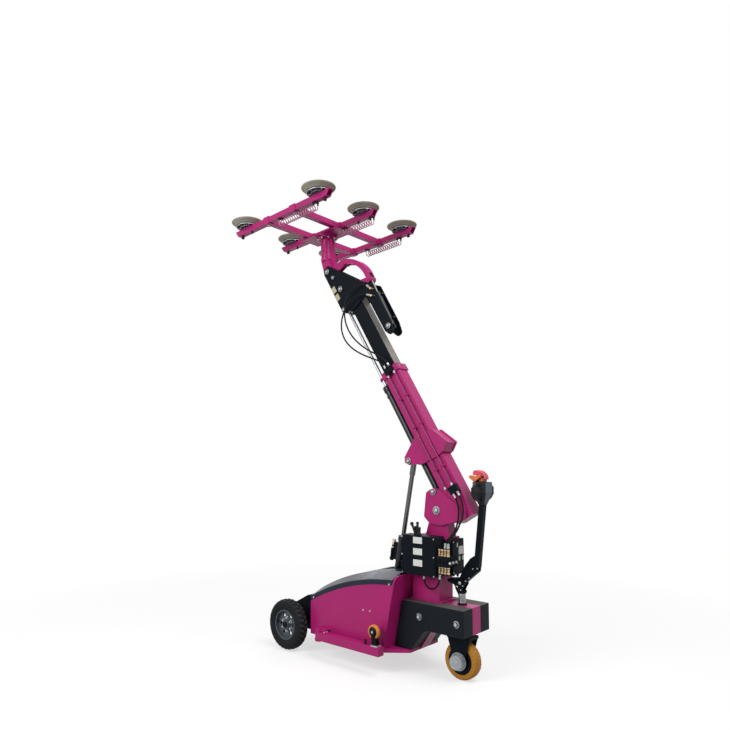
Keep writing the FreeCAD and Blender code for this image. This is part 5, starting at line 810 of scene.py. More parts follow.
@dataclass
class Body:
    """Tub, hood, counterweights, front bracket and stabilisers."""

    shop: Workshop
    stay_y: float = 372
    stay_top: float = 210.2
    hinge_x: float = 1130
    hinge_top: float = 221.2
    pin_reach: float = 11
    latch_x: float = 650
    stop_xs: Pair = (1040, 1078)
    stop_top: float = 214
    panel_y: float = 300.2
    bracket_y: float = 222.2
    weight_y: float = 189.2
    weight_bolt_y: float = 175.2

    def build(self) -> None:
        """Dresses the nodes and adds fasteners and trim."""
        shop = self.shop
        shop.dress(MAGENTA, "chassis_frame", "left_side_panel", "right_side_panel", "left_stabiliser_arm",
                   "right_stabiliser_arm", "left_castor_carrier", "right_castor_carrier")
        shop.dress(BLACK, "front_axle_bracket", "left_castor_fork", "right_castor_fork", "hydraulic_power_pack")
        shop.dress(RIM, "left_front_rim", "right_front_rim")
        shop.dress(HOOD_SHELL, "hood")
        shop.dress(DARK_PLASTIC, "battery_pack")
        shop.dress(ALLOY, "vacuum_pump_unit")
        shop.paint("stabiliser_hinges", MAGENTA,
                   (STEEL, lambda p: max(abs(abs(p.y) - self.stay_y), abs(p.x - self.hinge_x)) < self.pin_reach))
        # The counterweights' top faces take a paler iron: dust, with painted light from above.
        top = (MACHINE.inverted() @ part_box("left_counterweight")[1]).z - 0.6
        for _, name in SIDES:
            shop.paint(name + "_counterweight", IRON, (ZINC, lambda p: abs(p.y) > self.weight_bolt_y),
                       (DUST_AND_TOP_LIGHT_IRON, lambda p: p.z > top))
        for name, part, y, places in (
                ("hood_screws", screw(7, 5), self.panel_y, ((1268, 436), (484, 640))),
                ("panel_bolts", bolt(5, 5, 7.4), self.panel_y, ((735, 420), (668, 424))),
                ("bracket_bolts", bolt(8, 8, 12), self.bracket_y, ((1330, 390), (1330, 190)))):
            shop.repeat(name, part, both(y, *places))
        self._weights()
        for side, name in SIDES:
            self._stay(side * self.stay_y, name)

    def _weights(self) -> None:
        """Bolt faces on the counterweights, each in a dark ring of painted shade."""
        spots = both(self.weight_y, (310, 418), (-5, 418))
        cap = Mould(OWN).turned(((13.4, -9), (13.4, 0.4), (12, 1.4), (7.5, 1.4), (7, -3), (1, -3.4)), steps=28)
        self.shop.repeat("weight_bolt_heads", cap, spots, STEEL)
        # A dark ring round each bolt face: painted shade.
        shade_ring = Mould(OWN).turned(((13.6, -0.6), (19, -0.6), (19, 0.5), (13.6, 0.5)), steps=28, closed=True)
        self.shop.repeat("weight_bolt_joints", shade_ring, spots, DARK_PLASTIC)

    def _stay(self, y: float, name: str) -> None:
        """Pin head, latch and stop plate of one stabiliser arm.

        Args:
            y: middle of the arm.
            name: name of its side.
        """
        shop, body, top, (near, far) = self.shop, name + "_stabiliser", self.stay_top, self.stop_xs
        spots = [((self.hinge_x, y, self.hinge_top), UP)]
        shop.repeat(name + "_hinge_caps", bolt(11, 9, 16), spots, MAGENTA, bevel=0.5)
        latch = Mould().turned(((13, 0), (13, 5), (10, 7), (7, 7), (7, 18), (11, 20), (12, 27), (9, 30)),
                               facing((self.latch_x, y, top), UP), 30)
        shop.cast(name + "_latch_pin", latch, DARK_PLASTIC, body, bevel=0.6)
        plate = Mould().block((near, y - 27, top), (far, y + 27, self.stop_top))
        shop.cast(name + "_stop_plate", plate, MAGENTA, body, bevel=0.8)
        spots = [(((near + far) / 2, y + way * 15, self.stop_top + SEAT), UP) for way in (1, -1)]
        shop.repeat(name + "_stop_bolts", bolt(5, 5, 7), spots, ZINC, body)


@dataclass
class Mast:
    """Mast, control box, valve bank and electrical box."""

    shop: Workshop
    pivot_y: float = 77.4
    box_top: float = 993.2
    cover_y: float = 200
    cover_xs: Sequence[float] = (160, 440)
    cover_zs: Sequence[float] = (722, 852, 979)
    plate_xs: Pair = (260, 340)
    plate_zs: Sequence[float] = (961, 881, 801)
    plate_half: float = 23
    plate_thick: float = 1.4
    connectors: Sequence[Pair] = ((368, 60), (346, 92), (322, 56))
    lever: Pair = (354, 150)
    lever_lean: Place = (0.36, 0.1, 1)
    hinge: Place = (447.5, 197, 0)
    hinge_zs: Sequence[float] = (752, 900)
    hinge_long: float = 52
    seam_xs: Sequence[float] = (71, 96, 121)
    seam_half: float = 0.8
    spool: Pair = (45.8, 822)
    spool_ys: Sequence[float] = (174, 134, 94)
    lid_x: float = 96.5
    gland_z: float = 716
    valve_low: float = 792
    valve_high: float = 864
    fitting_xs: Sequence[float] = (58.5, 83.5, 108.5, 133.5)
    fitting_y: float = 166

    def build(self) -> None:
        """Dresses the nodes and adds plates, screws and fittings."""
        shop = self.shop
        shop.dress(BLACK, "control_box", "electrical_box")
        shop.paint("mast_column", MAGENTA, (ZINC, lambda p: abs(p.y) > 69.5 and p.z > 1100))
        shop.paint("valve_block", BLACK,
                   (HOSE, lambda p: p.z > self.valve_high + 0.5 or p.z < self.valve_low - 0.5))
        self._control()
        self._valves()
        self._electrics()
        shop.pins("pivot_bolts", (15, 10, 27), both(self.pivot_y, (PIVOT_X, PIVOT_Z)), MACHINE, "base")

    def _control(self) -> None:
        """Cover screws, blank plates and the connectors on top of the control box."""
        shop = self.shop
        spots = [((x, self.cover_y + SEAT, z), LEFT) for x in self.cover_xs for z in self.cover_zs]
        shop.repeat("cover_screws", screw(5.5, 4), spots)
        (near, far), half = self.plate_xs, self.plate_half
        for i, z in enumerate(self.plate_zs):
            plate = Mould().block((near, self.cover_y, z - half), (far, self.cover_y + self.plate_thick, z + half))
            shop.cast("blank_plate_%d" % i, plate, BLANK, bevel=0.5)
        for i, (x, tall) in enumerate(self.connectors):
            spot = Matrix.Translation((x, 128 + 9 * i, self.box_top))
            gland = Mould().turned(((13, 0), (13, 10), (10, 12), (9, tall - 18), (11, tall - 16), (11, tall - 4),
                                    (6, tall)), spot, 24)
            shop.cast("box_connector_%d" % i, gland.hex_nut(spot, 28, 9), DARK_PLASTIC, bevel=0.5)
        spot = facing((*self.lever, self.box_top), self.lever_lean)
        lever = Mould().slab(((-7, -7), (7, -7), (7, 7), (-7, 7)), 0, 78, spot)
        lever.turned(((9, 70), (13, 76), (13, 88), (8, 95), (2, 96)), spot, 24)
        shop.cast("box_lever", lever, DARK_PLASTIC, bevel=1)
        hinge = Mould()
        for z in self.hinge_zs:
            hinge.turned(((6, z), (6, z + self.hinge_long)), Matrix.Translation(self.hinge), 20)
        shop.cast("cover_hinges", hinge, BLACK, bevel=0.6)

    def _valves(self) -> None:
        """Hexagon nuts and sleeves on every fitting of the valve bank, its seams and its end caps."""
        shop = self.shop
        nuts = Mould()
        for x in self.fitting_xs:
            for base, way in ((self.valve_high, 1), (self.valve_low, -1)):
                spot = facing((x, self.fitting_y, base), UP * way)
                nuts.hex_nut(spot, 18.6, 11)
                nuts.turned(((8.9, 14), (8.9, 21), (8.2, 22), (8.2, 27), (8.9, 28), (8.9, 33), (8.1, 34), (8.1, 14)),
                            spot, 24, True)
                nuts.hex_nut(spot @ Matrix.Translation((0, 0, 37)), 18.4, 12)
        shop.cast("valve_nuts", nuts, BRASS, bevel=0.4)
        seams, half, (x, z) = Mould(), self.seam_half, self.spool
        for seam in self.seam_xs:
            seams.block((seam - half, 88, self.valve_low - half), (seam + half, 192.6, self.valve_high + half))
        shop.cast("valve_seams", seams, DARK_PLASTIC)
        shop.repeat("spool_caps", screw(10.5, 12), [((x, y, z), -AHEAD) for y in self.spool_ys])

    def _electrics(self) -> None:
        """Lid, blank plates and glands of the rear electrical box."""
        shop = self.shop
        lid = Mould().block((self.lid_x, -93, 724), (101.8, 54, 958))
        shop.cast("electrics_lid", lid, BLACK, bevel=1.6)
        plate = Mould()
        for low, high in (((-84, 856), (-22, 914)), ((-13, 910), (3, 942)), ((-43, 814), (-24, 844)),
                          ((-88, 814), (-71, 843))):
            plate.block((95.4, *low), (96.6, *high))
        shop.cast("electrics_plates", plate, BLANK, bevel=0.4)
        spots = [((self.lid_x - SEAT, y, z), -AHEAD) for y in (-84, 45) for z in (734, 948)]
        shop.repeat("electrics_screws", screw(5, 4), spots)
        gland = Mould(OWN).hex_nut(ORIGIN, 24, 9).turned(((9, 9), (9.5, 14), (7, 24), (4, 26)), steps=20)
        spots = [((130 + 26 * i, -58 + 12 * i, self.gland_z), -UP) for i in range(3)]
        shop.repeat("electrics_glands", gland, spots, DARK_PLASTIC, bevel=0.4)


@dataclass
class Tiller:
    """Steering fork, shaft, tiller arm and control head."""

    shop: Workshop
    shaft_x: float = 57
    sleeve_low: float = 525
    sleeve_top: float = 596
    pin: Pair = (52, 668)
    pin_y: float = 37.2
    bracket_y: float = 29.2
    foot_y: float = 20.2
    head_rear: float = -174
    head_side: float = 54
    head_bend: float = 1310
    head_slope: Pair = (27, 84)
    collar_zs: Pair = (1387, 1412)
    stem_x: float = -114
    button_half: float = 31
    grip_x: float = -125
    grip_y: float = 130
    grip_low: float = 1292
    ribs: int = 7

    def build(self) -> None:
        """Dresses the nodes and adds the control head's shells."""
        shop = self.shop
        shop.dress(BLACK, "steering_fork", "tiller_arm", "drive_wheel_core")
        shop.dress(ALLOY, "hub_motor")
        shop.dress(ORANGE_PLASTIC, "throttle_butterfly")
        shop.dress(DARK_PLASTIC, "tiller_head")
        shop.paint("steering_shaft", BLACK,
                   (STEEL, lambda p: p.z < self.sleeve_top and math.hypot(p.x - self.shaft_x, p.y) < 23))
        self._foot()
        self._shells()
        self._button()
        self._grips()

    def _ribbed(self, low: float, near: float, far: float, pitch: float, rib: float,
                rise: float) -> list[Pair]:
        """Outer profile of a ribbed sleeve.

        Args:
            low: height of its foot.
            near: radius in the grooves.
            far: radius on the ribs.
            pitch: height from one rib to the next.
            rib: height of one rib.
            rise: height over which a rib rises, and falls again.

        Returns:
            (radius, height) points.
        """
        feet = [low + pitch * i for i in range(self.ribs)]
        return [point for z in feet
                for point in ((near, z), (far, z + rise), (far, z + rib - rise), (near, z + rib))]

    def _foot(self) -> None:
        """The bright ribbed sleeve on the steering shaft, and the bolts of the tiller's foot."""
        shop = self.shop
        rows = self._ribbed(self.sleeve_low, 24, 27.4, 10, 8, 2)
        rows += [(22.4, self.sleeve_top), (22.4, self.sleeve_low - 1)]
        sleeve = Mould().turned(rows, Matrix.Translation((self.shaft_x, 0, 0)), 36, True)
        shop.cast("steering_sleeve", sleeve, STEEL, "steering", bevel=0.5)
        for name, part, body, y, places in (
                ("tiller_pin_nuts", bolt(8, 8, 12), "steering", self.pin_y, (self.pin,)),
                ("bracket_screws", screw(5, 4), "steering", self.bracket_y, ((50, 619), (31.8, 649))),
                ("foot_screws", screw(5, 4), "tiller", self.foot_y,
                 ((14, 684), (-16, 708), (-48, 776), (-84, 782)))):
            shop.repeat(name, part, both(y, *places), ZINC, body, bevel=0.4)

    def _shells(self) -> None:
        """Grey panel at the back of the control head, its grey corners, the orange collar and a blank switch plate."""
        shop, (run, tall) = self.shop, self.head_slope
        loops = []
        for z, half, out in ((1233, 20, 1), (1238, 23, 3.2), (1308, 42, 3.2), (1314, 44, 3.2), (1376, 44, 3.2),
                             (1382, 41, 1)):
            x = self.head_rear + run * max(0, self.head_bend - z) / tall
            loops.append([Vector((x + deep, y, z)) for deep, y in ((-out, -half), (-out, half), (3, half), (3, -half))])
        shop.cast("head_panel", Mould().rings(loops), GREY_PLASTIC, "tiller", bevel=1.4)
        corners = Mould()
        for side, _ in SIDES:
            near, far = sorted((side * (self.head_side - 2), side * (self.head_side + 2.4)))
            for x, z in (((-101, -77), (1346, 1386)), ((-95, -79), (1318, 1346))):
                corners.block((x[0], near, z[0]), (x[1], far, z[1]))
        shop.cast("head_corners", corners, GREY_PLASTIC, "tiller", bevel=2)
        collar = Mould().slab(((-147, -26), (-139, -32.4), (-116, -32.4), (-116, 32.4), (-139, 32.4), (-147, 26)),
                              *self.collar_zs)
        shop.cast("head_collar", collar, ORANGE_PLASTIC, "tiller", bevel=3)
        switch = Mould().block((-66, -20, 1402), (-58, 20, 1422))
        shop.cast("switch_plate", switch, GREY_PLASTIC, "tiller", bevel=2)

    def _button(self) -> None:
        """The reversing button: a sloping cap on its stem, with its rear edge hanging behind the neck."""
        outline = ((-66, 1431), (-66, 1455), (-75, 1466), (-100, 1466), (-128, 1457), (-150, 1437), (-159, 1414),
                   (-158.5, 1402), (-150.5, 1402), (-150.5, 1425), (-148.5, 1431))
        ends = (-self.button_half, self.button_half)
        button = Mould().rings([[Vector((x, y, z)) for x, z in outline] for y in ends])
        button.turned(((8, 1400), (8, 1440)), Matrix.Translation((self.stem_x, 0, 0)), 24)
        self.shop.cast("reverse_cap", button, RED_PLASTIC, "reverse", bevel=3, instead_of=("reverse_button",))

    def _grips(self) -> None:
        """Ribbed grips on the two handles."""
        low, pitch = self.grip_low, 8
        rows = self._ribbed(low, 11.8, 13.4, pitch, 7, 1.6) + [(11.2, low + pitch * self.ribs), (11.2, low)]
        grips = Mould()
        for side, _ in SIDES:
            grips.turned(rows, Matrix.Translation((self.grip_x, side * self.grip_y, 0)), 30, True)
        self.shop.cast("handle_grips", grips, DARK_PLASTIC, "tiller", bevel=0.5)


@dataclass
class Boom:
    """Telescopic boom with its cylinders, plates, pipes and tilt linkage."""

    shop: Workshop
    plate_y: float = 64.2
    boom_y: float = 76.2
    luff_foot: Place = (690, 0, 400)
    luff_lean: float = -10.84
    valve_x: float = 80
    pipe_y: float = 80
    pipe_rows: Pair = (154.4, 220.7)
    pipe_gap: float = 6.8
    clamp_xs: Sequence[float] = (250, 620, 880)
    clamp_ys: tuple[float, float, float, float] = (58, 73, 87, 89.6)
    clamp_half: float = 7
    clamp_rise: float = 10
    manifold_xs: Pair = (84.2, 1111.8)
    outlet: Pair = (1168.2, 84)
    outlet_zs: Sequence[float] = (165, 205)
    gland_x: float = 1088
    gland_z: float = 46
    collar_x: float = 1141
    pad_xs: Pair = (1150, 1176)
    patch_xs: Sequence[float] = (2132, 2048)
    patch_half: float = 31

    def build(self) -> None:
        """Dresses the nodes and adds pins, clamps and collars."""
        shop = self.shop
        shop.dress(MAGENTA, "outer_boom", "lift_saddle", "boom_base_plates", "tilt_rocker", "arch_link", "tilt_yoke")
        shop.dress(BARREL, "extension_barrel", "luff_barrel", "tilt_barrel")
        shop.dress(CHROME, "luff_rod", "tilt_rod")
        shop.dress(ZINC, "extension_rod")
        for node, rule in (
                # Pipes take a magenta colour as a painted reflection of the boom.
                ("boom_plumbing", (REFLECTING_PIPE, lambda p: 96 < p.x < 1112)),
                # Top faces of the inner boom: grease, with a painted sheen.
                ("inner_boom", (GREASE_AND_SHEEN, lambda p: p.z > 239)),
                ("head_plates", (BRASS, lambda p: p.y > 58.5 and p.x < 1885 and p.z > 300))):
            shop.paint(node, BLACK, rule, place=BOOM)
        self._pins()
        self._clamps()
        self._collars()
        self._luff_valve()

    def _pins(self) -> None:
        """Pale washers and bolt heads on every pin, and two blank patches."""
        shop = self.shop
        for name, sizes, y, body, places in (
                ("head_pin_bolts", (11.5, 11, 23), self.plate_y, "slide_boom",
                 ((TIP_X, TIP_Z), (2086, 108), (1898, 46), (1468, 357))),
                ("cross_bolts", (8, 9, 15), self.plate_y, "slide_boom", ((2234, 91),)),
                ("boom_pin_bolts", (12, 11, 24), self.boom_y, "boom", ((439, -30), (130, 46)))):
            shop.pins(name, sizes, both(y, *places), BOOM, body)
        patch, half = Mould(BOOM), self.patch_half
        for x in self.patch_xs:
            patch.block((x - half, 58, 23), (x + half, 59.2, 63))
        shop.cast("blank_patches", patch, TAG, "slide_boom", bevel=0.4)

    def _clamps(self) -> None:
        """Clamps over the two pipes, and fittings on the manifolds."""
        shop, half, rise, gap = self.shop, self.clamp_half, self.clamp_rise, self.pipe_gap
        clamps, nuts, spots = Mould(BOOM), Mould(BOOM), []
        wall, inner, outer, face = self.clamp_ys
        bars = ((wall, inner, -rise, rise), (outer, face, -rise, rise), (inner, outer, gap, rise),
                (inner, outer, -rise, -gap))
        for x in self.clamp_xs:
            for z in self.pipe_rows:
                for near, far, low, high in bars:
                    clamps.block((x - half, near, z + low), (x + half, far, z + high))
                spots.append(((x, face + SEAT, z), LEFT))
        shop.cast("pipe_clamps", clamps, MAGENTA, "boom", bevel=0.6)
        shop.repeat("clamp_screws", screw(3.4, 2.6), spots, BLACK, "boom", BOOM)
        for x, way in zip(self.manifold_xs, (1, -1)):
            for z in self.pipe_rows:
                spot = facing((x, self.pipe_y, z), AHEAD * way)
                nuts.hex_nut(spot, 20, 12).turned(((8.4, 12), (8.4, 20), (6.4, 22), (6.2, 12)), spot, 20, True)
        for z in self.outlet_zs:
            nuts.hex_nut(facing((*self.outlet, z), AHEAD), 22, 10)
        shop.cast("manifold_nuts", nuts, STEEL, "boom", bevel=0.5)

    def _collars(self) -> None:
        """Gland of the extension cylinder, and wear pads and screws at the boom's mouth."""
        shop, (near, far) = self.shop, self.pad_xs
        spot = facing((self.gland_x, 0, self.gland_z), AHEAD)
        gland = Mould(BOOM).turned(((30.2, -96), (35, -94), (35, -86), (30.2, -84)), spot, 40, True)
        gland.turned(((34.2, -40), (36, -38), (36, -8), (34, -2), (24, 0.6), (14.6, 0.6), (14.6, -2), (33, -2)), spot,
                     40, True)
        gland.hex_nut(facing((1040, 0, 80), UP), 22, 14)
        shop.cast("extension_gland", gland, BARREL, "boom", bevel=0.6)
        pads = Mould(BOOM)
        for y in (49, -49):
            pads.block((near, y - 2.6, 122), (far, y + 2.6, 230))
        pads.block((near, -40, 241), (far, 40, 246.4))
        shop.cast("mouth_pads", pads, DARK_PLASTIC, "boom", bevel=0.8)
        spots = [((self.collar_x, -67.2, z), -LEFT) for z in (124, 176, 228)]
        spots += [((self.collar_x, y, 262.2), UP) for y in (-36, 36)]
        shop.repeat("collar_screws", screw(6.5, 5), spots, STEEL, "boom", BOOM)

    def _luff_valve(self) -> None:
        """The holding valve that stands along the luff barrel, with its port block, clamp and pale cap."""
        shop, body = self.shop, "luff_barrel"
        lean = Matrix.Rotation(math.radians(self.luff_lean), 4, "Y")
        barrel = MACHINE @ Matrix.Translation(self.luff_foot) @ lean
        stand = Matrix.Translation((self.valve_x, 0, 0))
        valve = Mould(barrel).block((30, -13, 470), (72, 13, 496)).block((31, -9, 362), (70, 9, 378))
        valve.block((31, -4, 378), (72, 4, 470))
        valve.turned(((11, 346), (15, 350), (15, 402), (17, 404), (17, 440), (13, 443), (13, 470)), stand, 28)
        valve.hex_nut(stand @ Matrix.Translation((0, 0, 356)), 34, 14)
        shop.cast("luff_valve", valve, BLACK, body, bevel=0.8)
        sleeve = Mould(barrel).turned(((12.2, 470), (13.6, 472), (13.6, 492), (11, 496), (11, 500)), stand, 28)
        sleeve.hex_nut(stand @ Matrix.Translation((0, 0, 446)), 27, 12)
        shop.cast("luff_valve_sleeve", sleeve, BRASS, body, bevel=0.6)
        cap = Mould(barrel).turned(((11, 500), (16, 501), (16, 511), (13, 514), (3, 515)), stand, 28)
        shop.cast("luff_valve_cap", cap, ZINC, body, bevel=0.6)


@dataclass
class VacuumHead:
    """Slewing frame with its pads and curly hoses."""

    shop: Workshop
    slew: float = 50
    arm_rows: Sequence[float] = (538, 0, -538)
    pad_reach: float = 452
    turntable_low: float = 329
    bolt_circle: float = 78
    sleeve_reach: float = 165
    sleeve_low: float = 365.2
    knob_reach: float = 520
    plate_low: float = 435.35
    plate_thick: float = 8
    arm_low: float = 371.35
    curls: Sequence[tuple[int, float]] = ((15, -415), (11, -545), (14, -415))
    curl_tube: float = 4
    curl_radius: float = 22
    curl_pitch: float = 27

    def build(self) -> None:
        """Dresses the frame and makes lips, caps and curly hoses."""
        self.shop.dress(MAGENTA, "hub_plate", "cross_beams", "frame_arms")
        self.shop.paint("pad_plates", DARK_PLASTIC, (ALLOY, lambda p: 425 < p.z < 434.9), place=HEAD)
        self._lips()
        self._bolts()
        for i, (v, (count, start)) in enumerate(zip(self.arm_rows, self.curls)):
            self._curl("curly_hose_%d" % i, v, count, self.slew + start)

    def _pairs(self, reach: float, z: float) -> list[Place]:
        """Places at one height on both ends of every arm."""
        return [(self.slew + way * reach, v, z) for v in self.arm_rows for way in (1, -1)]

    def _lips(self) -> None:
        """Six rubber lips with a rolled rim, and rings on their plates."""
        rows = ((84.3, 0), (97.6, 0), (100.5, 2.4), (104, 3.6), (109, 9), (116, 14), (124, 18.8), (131, 23.4),
                (136.6, 28.4), (138.6, 31.6), (138.2, 33.6), (134, 33.9), (130.4, 32.4), (122, 25.6), (112, 18.6),
                (102, 12.6), (96, 9), (84.3, 9))
        trim = ((91, 0.4), (91.5, -4), (97, -4.4), (98.8, -2), (98.8, 2))
        lips, trims = Mould(HEAD), Mould(HEAD)
        for place in self._pairs(self.pad_reach, self.plate_low + self.plate_thick):
            lips.turned(rows, Matrix.Translation(place), 72, True)
        self.shop.cast("rubber_lips", lips, PAD, "frame", instead_of=("pad_lips",))
        for place in self._pairs(self.pad_reach, self.plate_low):
            trims.turned(trim, Matrix.Translation(place), 72, True)
        self.shop.cast("plate_rims", trims, ALLOY, "frame")

    def _bolts(self) -> None:
        """Bolts of the turntable, sleeves and pads."""
        shop = self.shop
        spots = [((self.slew + x, y, self.turntable_low), -UP) for x, y in ring(8, self.bolt_circle, 0.2)]
        shop.repeat("flange_bolts", bolt(8, 8, 11), spots, ZINC, "yoke", HEAD, 0.4)
        spots = [(place, -UP) for place in self._pairs(self.sleeve_reach, self.sleeve_low)]
        shop.repeat("sleeve_knobs", bolt(8, 12, 11), spots, ZINC, "frame", HEAD, 0.4)
        knob = Mould(OWN).turned(((7, 0), (7, 8), (14, 11), (15, 20), (11, 25), (2, 26)), steps=24)
        spots = [(place, -UP) for place in self._pairs(self.knob_reach, self.arm_low)]
        shop.repeat("arm_knobs", knob, spots, DARK_PLASTIC, "frame", HEAD)

    def _curl(self, name: str, v: float, count: int, x: float) -> None:
        """One curly hose as one smooth line.

        Args:
            name: name of the piece.
            v: row of its arm.
            count: number of whole curls.
            x: where it starts along the arm.
        """
        radius, pitch, lead, ease, steps = self.curl_radius, self.curl_pitch, 8, 14, 12
        bracket, port = 8, 16
        top = self.arm_low - bracket - port
        wide, turns = radius / math.cos(math.pi / steps), count + 0.5
        shift = ease * math.tan(math.atan2(pitch, 2 * math.pi * radius) / 2)
        route = [Vector((x, v - radius, top)), Vector((x, v - radius, top - lead))]
        for k in range(int(turns * steps) + 1):
            angle = math.pi + 2 * math.pi * k / steps
            route.append(Vector((x + shift + pitch * k / steps, v + wide * math.cos(angle),
                                 top - lead - ease + wide * math.sin(angle))))
        end = x + 2 * shift + pitch * turns
        route += [Vector((end, v + radius, top - lead)), Vector((end, v + radius, top))]
        points, tube = [HEAD @ point for point in route], self.curl_tube * MM
        hose = self.shop.add(name, self.shop.tube(name, points, tube), CURLY, "frame", instead_of=("vacuum_hoses",))
        self.shop.declare(hose, points, tube, "medium", "coiled")


@dataclass(frozen=True)
class HoseRun:
    """One hydraulic hose.

    Args:
        name: name of the piece.
        node: CAD node that it stands for.
        place: frame of the route.
        route: control points in that frame.
        first: body at its first end.
        last: body at its last end.
        span: share of the route over which one body gives way to the other, as two points of the frame; not used.
    """

    name: str
    node: str
    place: Matrix
    route: Sequence[Place]
    first: str
    last: str
    span: tuple[Place, Place] = ((0, 0, 0), (0, 0, 0))


HOSES = (
    HoseRun("head_hose_a", "head_hoses", BOOM, (
        (1168, 84, 165), (1214, 84, 165), (1262, 90, 150), (1314, 102, 112), (1374, 114, 68), (1440, 122, 26),
        (1512, 124, -10), (1590, 122, -36), (1668, 117, -44), (1744, 112, -30), (1812, 106, 10), (1862, 100, 68),
        (1890, 94, 134), (1892, 90, 202), (1874, 87, 264), (1838, 86, 316), (1796, 86, 350)),
        "boom", "slide_boom", ((1214, 84, 165), (1780, 84, 165))),
    HoseRun("head_hose_b", "head_hoses", BOOM, (
        (1168, 84, 205), (1216, 84, 205), (1268, 92, 190), (1328, 104, 156), (1396, 114, 116), (1466, 119, 82),
        (1540, 119, 54), (1616, 115, 34), (1694, 110, 26), (1772, 106, 34), (1846, 102, 62), (1908, 98, 108),
        (1950, 94, 170), (1964, 90, 240), (1948, 87, 308), (1908, 86, 360), (1856, 86, 380)),
        "boom", "slide_boom", ((1216, 84, 205), (1840, 84, 205))),
    HoseRun("base_hose_a", "base_hoses", MACHINE, (
        (32.7, 82, 1316.3), (12, 82, 1282.2), (-8, 85, 1240), (-21, 92, 1192), (-22, 104, 1142), (-10, 121, 1092),
        (4, 135, 1048), (24, 148, 1012), (46, 160, 985), (58.5, 166, 955), (58.5, 166, 920.3)),
        "boom", "base", ((12, 82, 1282.2), (12, 82, 960))),
    HoseRun("base_hose_b", "base_hoses", MACHINE, (
        (65.2, 82, 1296.6), (45, 82, 1263.3), (28, 85, 1222), (17, 92, 1176), (13, 103, 1130), (16, 116, 1084),
        (26, 131, 1040), (46, 146, 1006), (70, 159.5, 982), (83.5, 166, 955), (83.5, 166, 920.3)),
        "boom", "base", ((45, 82, 1263.3), (45, 82, 960))),
    HoseRun("base_hose_c", "base_hoses", MACHINE, (
        (133.5, 166, 735.7), (133.5, 166, 704), (148, 164, 664), (178, 160, 632), (214, 154, 620), (250, 147, 626),
        (280, 140, 650), (294, 134, 682), (294, 134, 714.7)), "base", "base"),
)


@dataclass
class Hoses:
    """Hydraulic hoses with their crimped ends."""

    shop: Workshop
    radius: float = 6.5

    def build(self) -> None:
        """Makes every hose."""
        for run in HOSES:
            self._hose(run)

    def _hose(self, run: HoseRun) -> None:
        """One hose, which rides on its ends' body where both ends share one, with a crimp on the body at each end.

        Args:
            run: its route and its bodies.
        """
        shop, radius, route = self.shop, self.radius * MM, [Vector(place) for place in run.route]
        points = [run.place @ place for place in route]
        same = run.first == run.last
        hose = shop.add(run.name, shop.tube(run.name, points, radius), HOSE, run.first if same else None,
                        instead_of=(run.node,))
        if not same:
            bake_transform(hose)
        shop.declare(hose, points, radius, "stiff", "hanging")
        for tip, (tail, neck, body) in enumerate(((*route[:2], run.first), (*route[:-3:-1], run.last))):
            spot = facing(tail, neck - tail)
            crimp = Mould(run.place).turned(((6.7, 12), (9.2, 13), (9.2, 17), (8.4, 18), (9.2, 19), (9.2, 24),
                                             (8.4, 25), (9.2, 26), (9.2, 33), (7.6, 35), (6.7, 35)), spot, 24, True)
            shop.cast("%s_crimp_%d" % (run.name, tip), crimp.hex_nut(spot, 19, 12), STEEL, body, bevel=0.4)


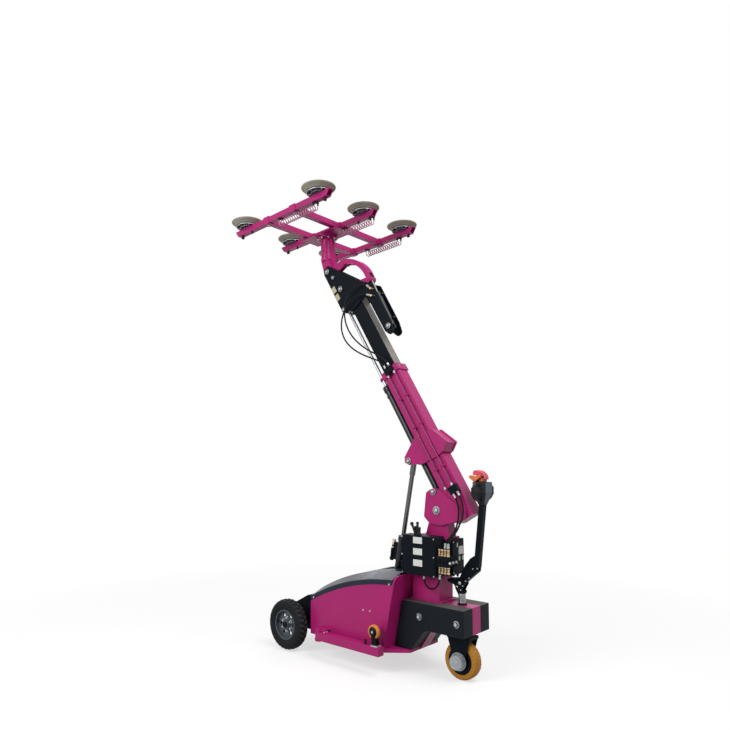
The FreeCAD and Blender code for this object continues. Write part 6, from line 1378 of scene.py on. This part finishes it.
@dataclass
class Studio:
    """Floor, light and camera.

    Args:
        eye: camera's place in the machine frame, in millimetres.
        yaw: its turn about the upright axis, in degrees.
        pitch: its tilt upwards, in degrees.
        focal: focal length in pixels of the photograph.
        frame: width of the photograph in pixels.
        low: how far the optical axis lies under the picture's middle, in pixels.
        sky: light from all round on what isn't a mirror.
        bounce: share of the light that the floor throws back.
        lamps: name, place, aim, width in metres and power of each lamp.
    """

    eye: Place = (-2402.5, 3836.8, 1558.3)
    yaw: float = -48.5884
    pitch: float = 5.3051
    focal: float = 615.678
    frame: float = 730
    low: float = 35
    sky: float = 0.36
    bounce: float = 0.26
    lamps: Sequence[tuple[str, Place, Place, float, float]] = (
        ("overhead", (-3.7, 0.5, 6.3), (0, 0, 1.6), 4.4, 265),
        ("key", (0.8, 6, 4), (0, 0, 1.2), 4.2, 270),
        ("rim", (3.6, -3.2, 3.6), (0, 0, 1.6), 2.6, 40))

    def build(self) -> None:
        """Makes the stage."""
        self._floor()
        self._light()
        self._camera()

    @staticmethod
    def _seen(graph: Graph) -> bpy.types.NodeSocket:
        """A mask of the rays that see the backdrop: the camera's, and those in metal and glass.

        Args:
            graph: the tree that uses it.

        Returns:
            The mask.
        """
        rays = graph.tree.nodes.new("ShaderNodeLightPath").outputs
        mask = rays["Is Camera Ray"]
        for name in ("Is Glossy Ray", "Is Transmission Ray"):
            mask = graph.calc("MAXIMUM", mask, rays[name])
        return mask

    @staticmethod
    def _aimed(name: str, data: bpy.types.ID, place: Sequence[float], way: Vector) -> bpy.types.Object:
        """Adds a lamp or camera at a place, looking along a direction.

        Args:
            name: name of the object.
            data: the lamp or camera.
            place: where it stands, in metres.
            way: where it looks.

        Returns:
            The new object.
        """
        piece = bpy.data.objects.new(name, data)
        piece.matrix_world = Matrix.Translation(place) @ way.to_track_quat("-Z", "Y").to_matrix().to_4x4()
        bpy.context.scene.collection.objects.link(piece)
        return piece

    def _floor(self) -> None:
        """A large floor that the camera sees as white under a soft shadow, and that throws back a plain light."""
        corners = ring(64, 60)
        mesh = bpy.data.meshes.new("floor")
        mesh.from_pydata([(x, y, -0.001) for x, y in corners], [], [tuple(range(len(corners)))])
        material = bpy.data.materials.new("floor")
        material.use_nodes = True
        graph = Graph(material.node_tree)
        coord = graph.add("ShaderNodeTexCoord", out="Object")
        noise = graph.add("ShaderNodeTexNoise", {"Vector": coord, "Scale": 0.6})
        reach = graph.add("ShaderNodeVectorMath", {0: coord}, "Value", operation="LENGTH")
        seen = self._seen(graph)
        tint = graph.calc("MULTIPLY", graph.remap(noise, 0.3, 0.7, 0.96, 0.99),
                          graph.remap(seen, 0, 1, self.bounce, 1))
        share = graph.calc("MULTIPLY", graph.remap(reach, 1.2, 4.5, 0.6, 1), seen)
        shader = graph.fill(graph.tree.nodes["Principled BSDF"], {"Base Color": tint, "Roughness": 0.85})
        white = graph.add("ShaderNodeEmission")
        mixed = graph.add("ShaderNodeMixShader", {0: share, 1: shader.outputs[0], 2: white})
        graph.fill(graph.tree.nodes["Material Output"], {"Surface": mixed})
        mesh.materials.append(material)
        floor = bpy.data.objects.new("floor", mesh)
        bpy.context.scene.collection.objects.link(floor)

    def _light(self) -> None:
        """A white backdrop, a plain level of light from all round and three soft lamps."""
        world = bpy.data.worlds.new("studio")
        world.use_nodes = True
        graph = Graph(world.node_tree)
        level = graph.add("ShaderNodeMapRange", {0: self._seen(graph), "To Min": self.sky})
        graph.fill(graph.tree.nodes["Background"], {"Color": (1, 1, 1, 1), "Strength": level})
        bpy.context.scene.world = world
        bpy.context.scene.view_settings.view_transform = "Standard"
        for name, place, aim, size, power in self.lamps:
            data = bpy.data.lights.new(name, "AREA")
            data.shape, data.size, data.energy = "DISK", size, power
            self._aimed(name, data, place, Vector(aim) - Vector(place))

    def _camera(self) -> None:
        """The photograph's view."""
        data = bpy.data.cameras.new("camera")
        data.sensor_fit, data.sensor_width = "HORIZONTAL", 36
        data.lens = self.focal / self.frame * data.sensor_width
        data.shift_y = self.low / self.frame
        data.clip_end = 200
        yaw, pitch = math.radians(self.yaw), math.radians(self.pitch)
        way = Vector((math.cos(yaw) * math.cos(pitch), math.sin(yaw) * math.cos(pitch), math.sin(pitch)))
        bpy.context.scene.camera = self._aimed("camera", data, MACHINE @ Vector(self.eye), way)


def clear_scene() -> None:
    """Empties Blender's starting scene."""
    for item in list(bpy.data.objects):
        bpy.data.objects.remove(item)


def main() -> None:
    """Builds the scene."""
    logging.basicConfig(level=logging.INFO, format="%(name)s: %(message)s")
    clear_scene()
    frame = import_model()
    shop = Workshop(frame)
    Studio().build()
    for group in (Hoses, Wheels, Body, Mast, Tiller, Boom, VacuumHead):
        group(shop).build()
        LOG.info("%s done", group.__name__)


if __name__ == "__main__":
    main()
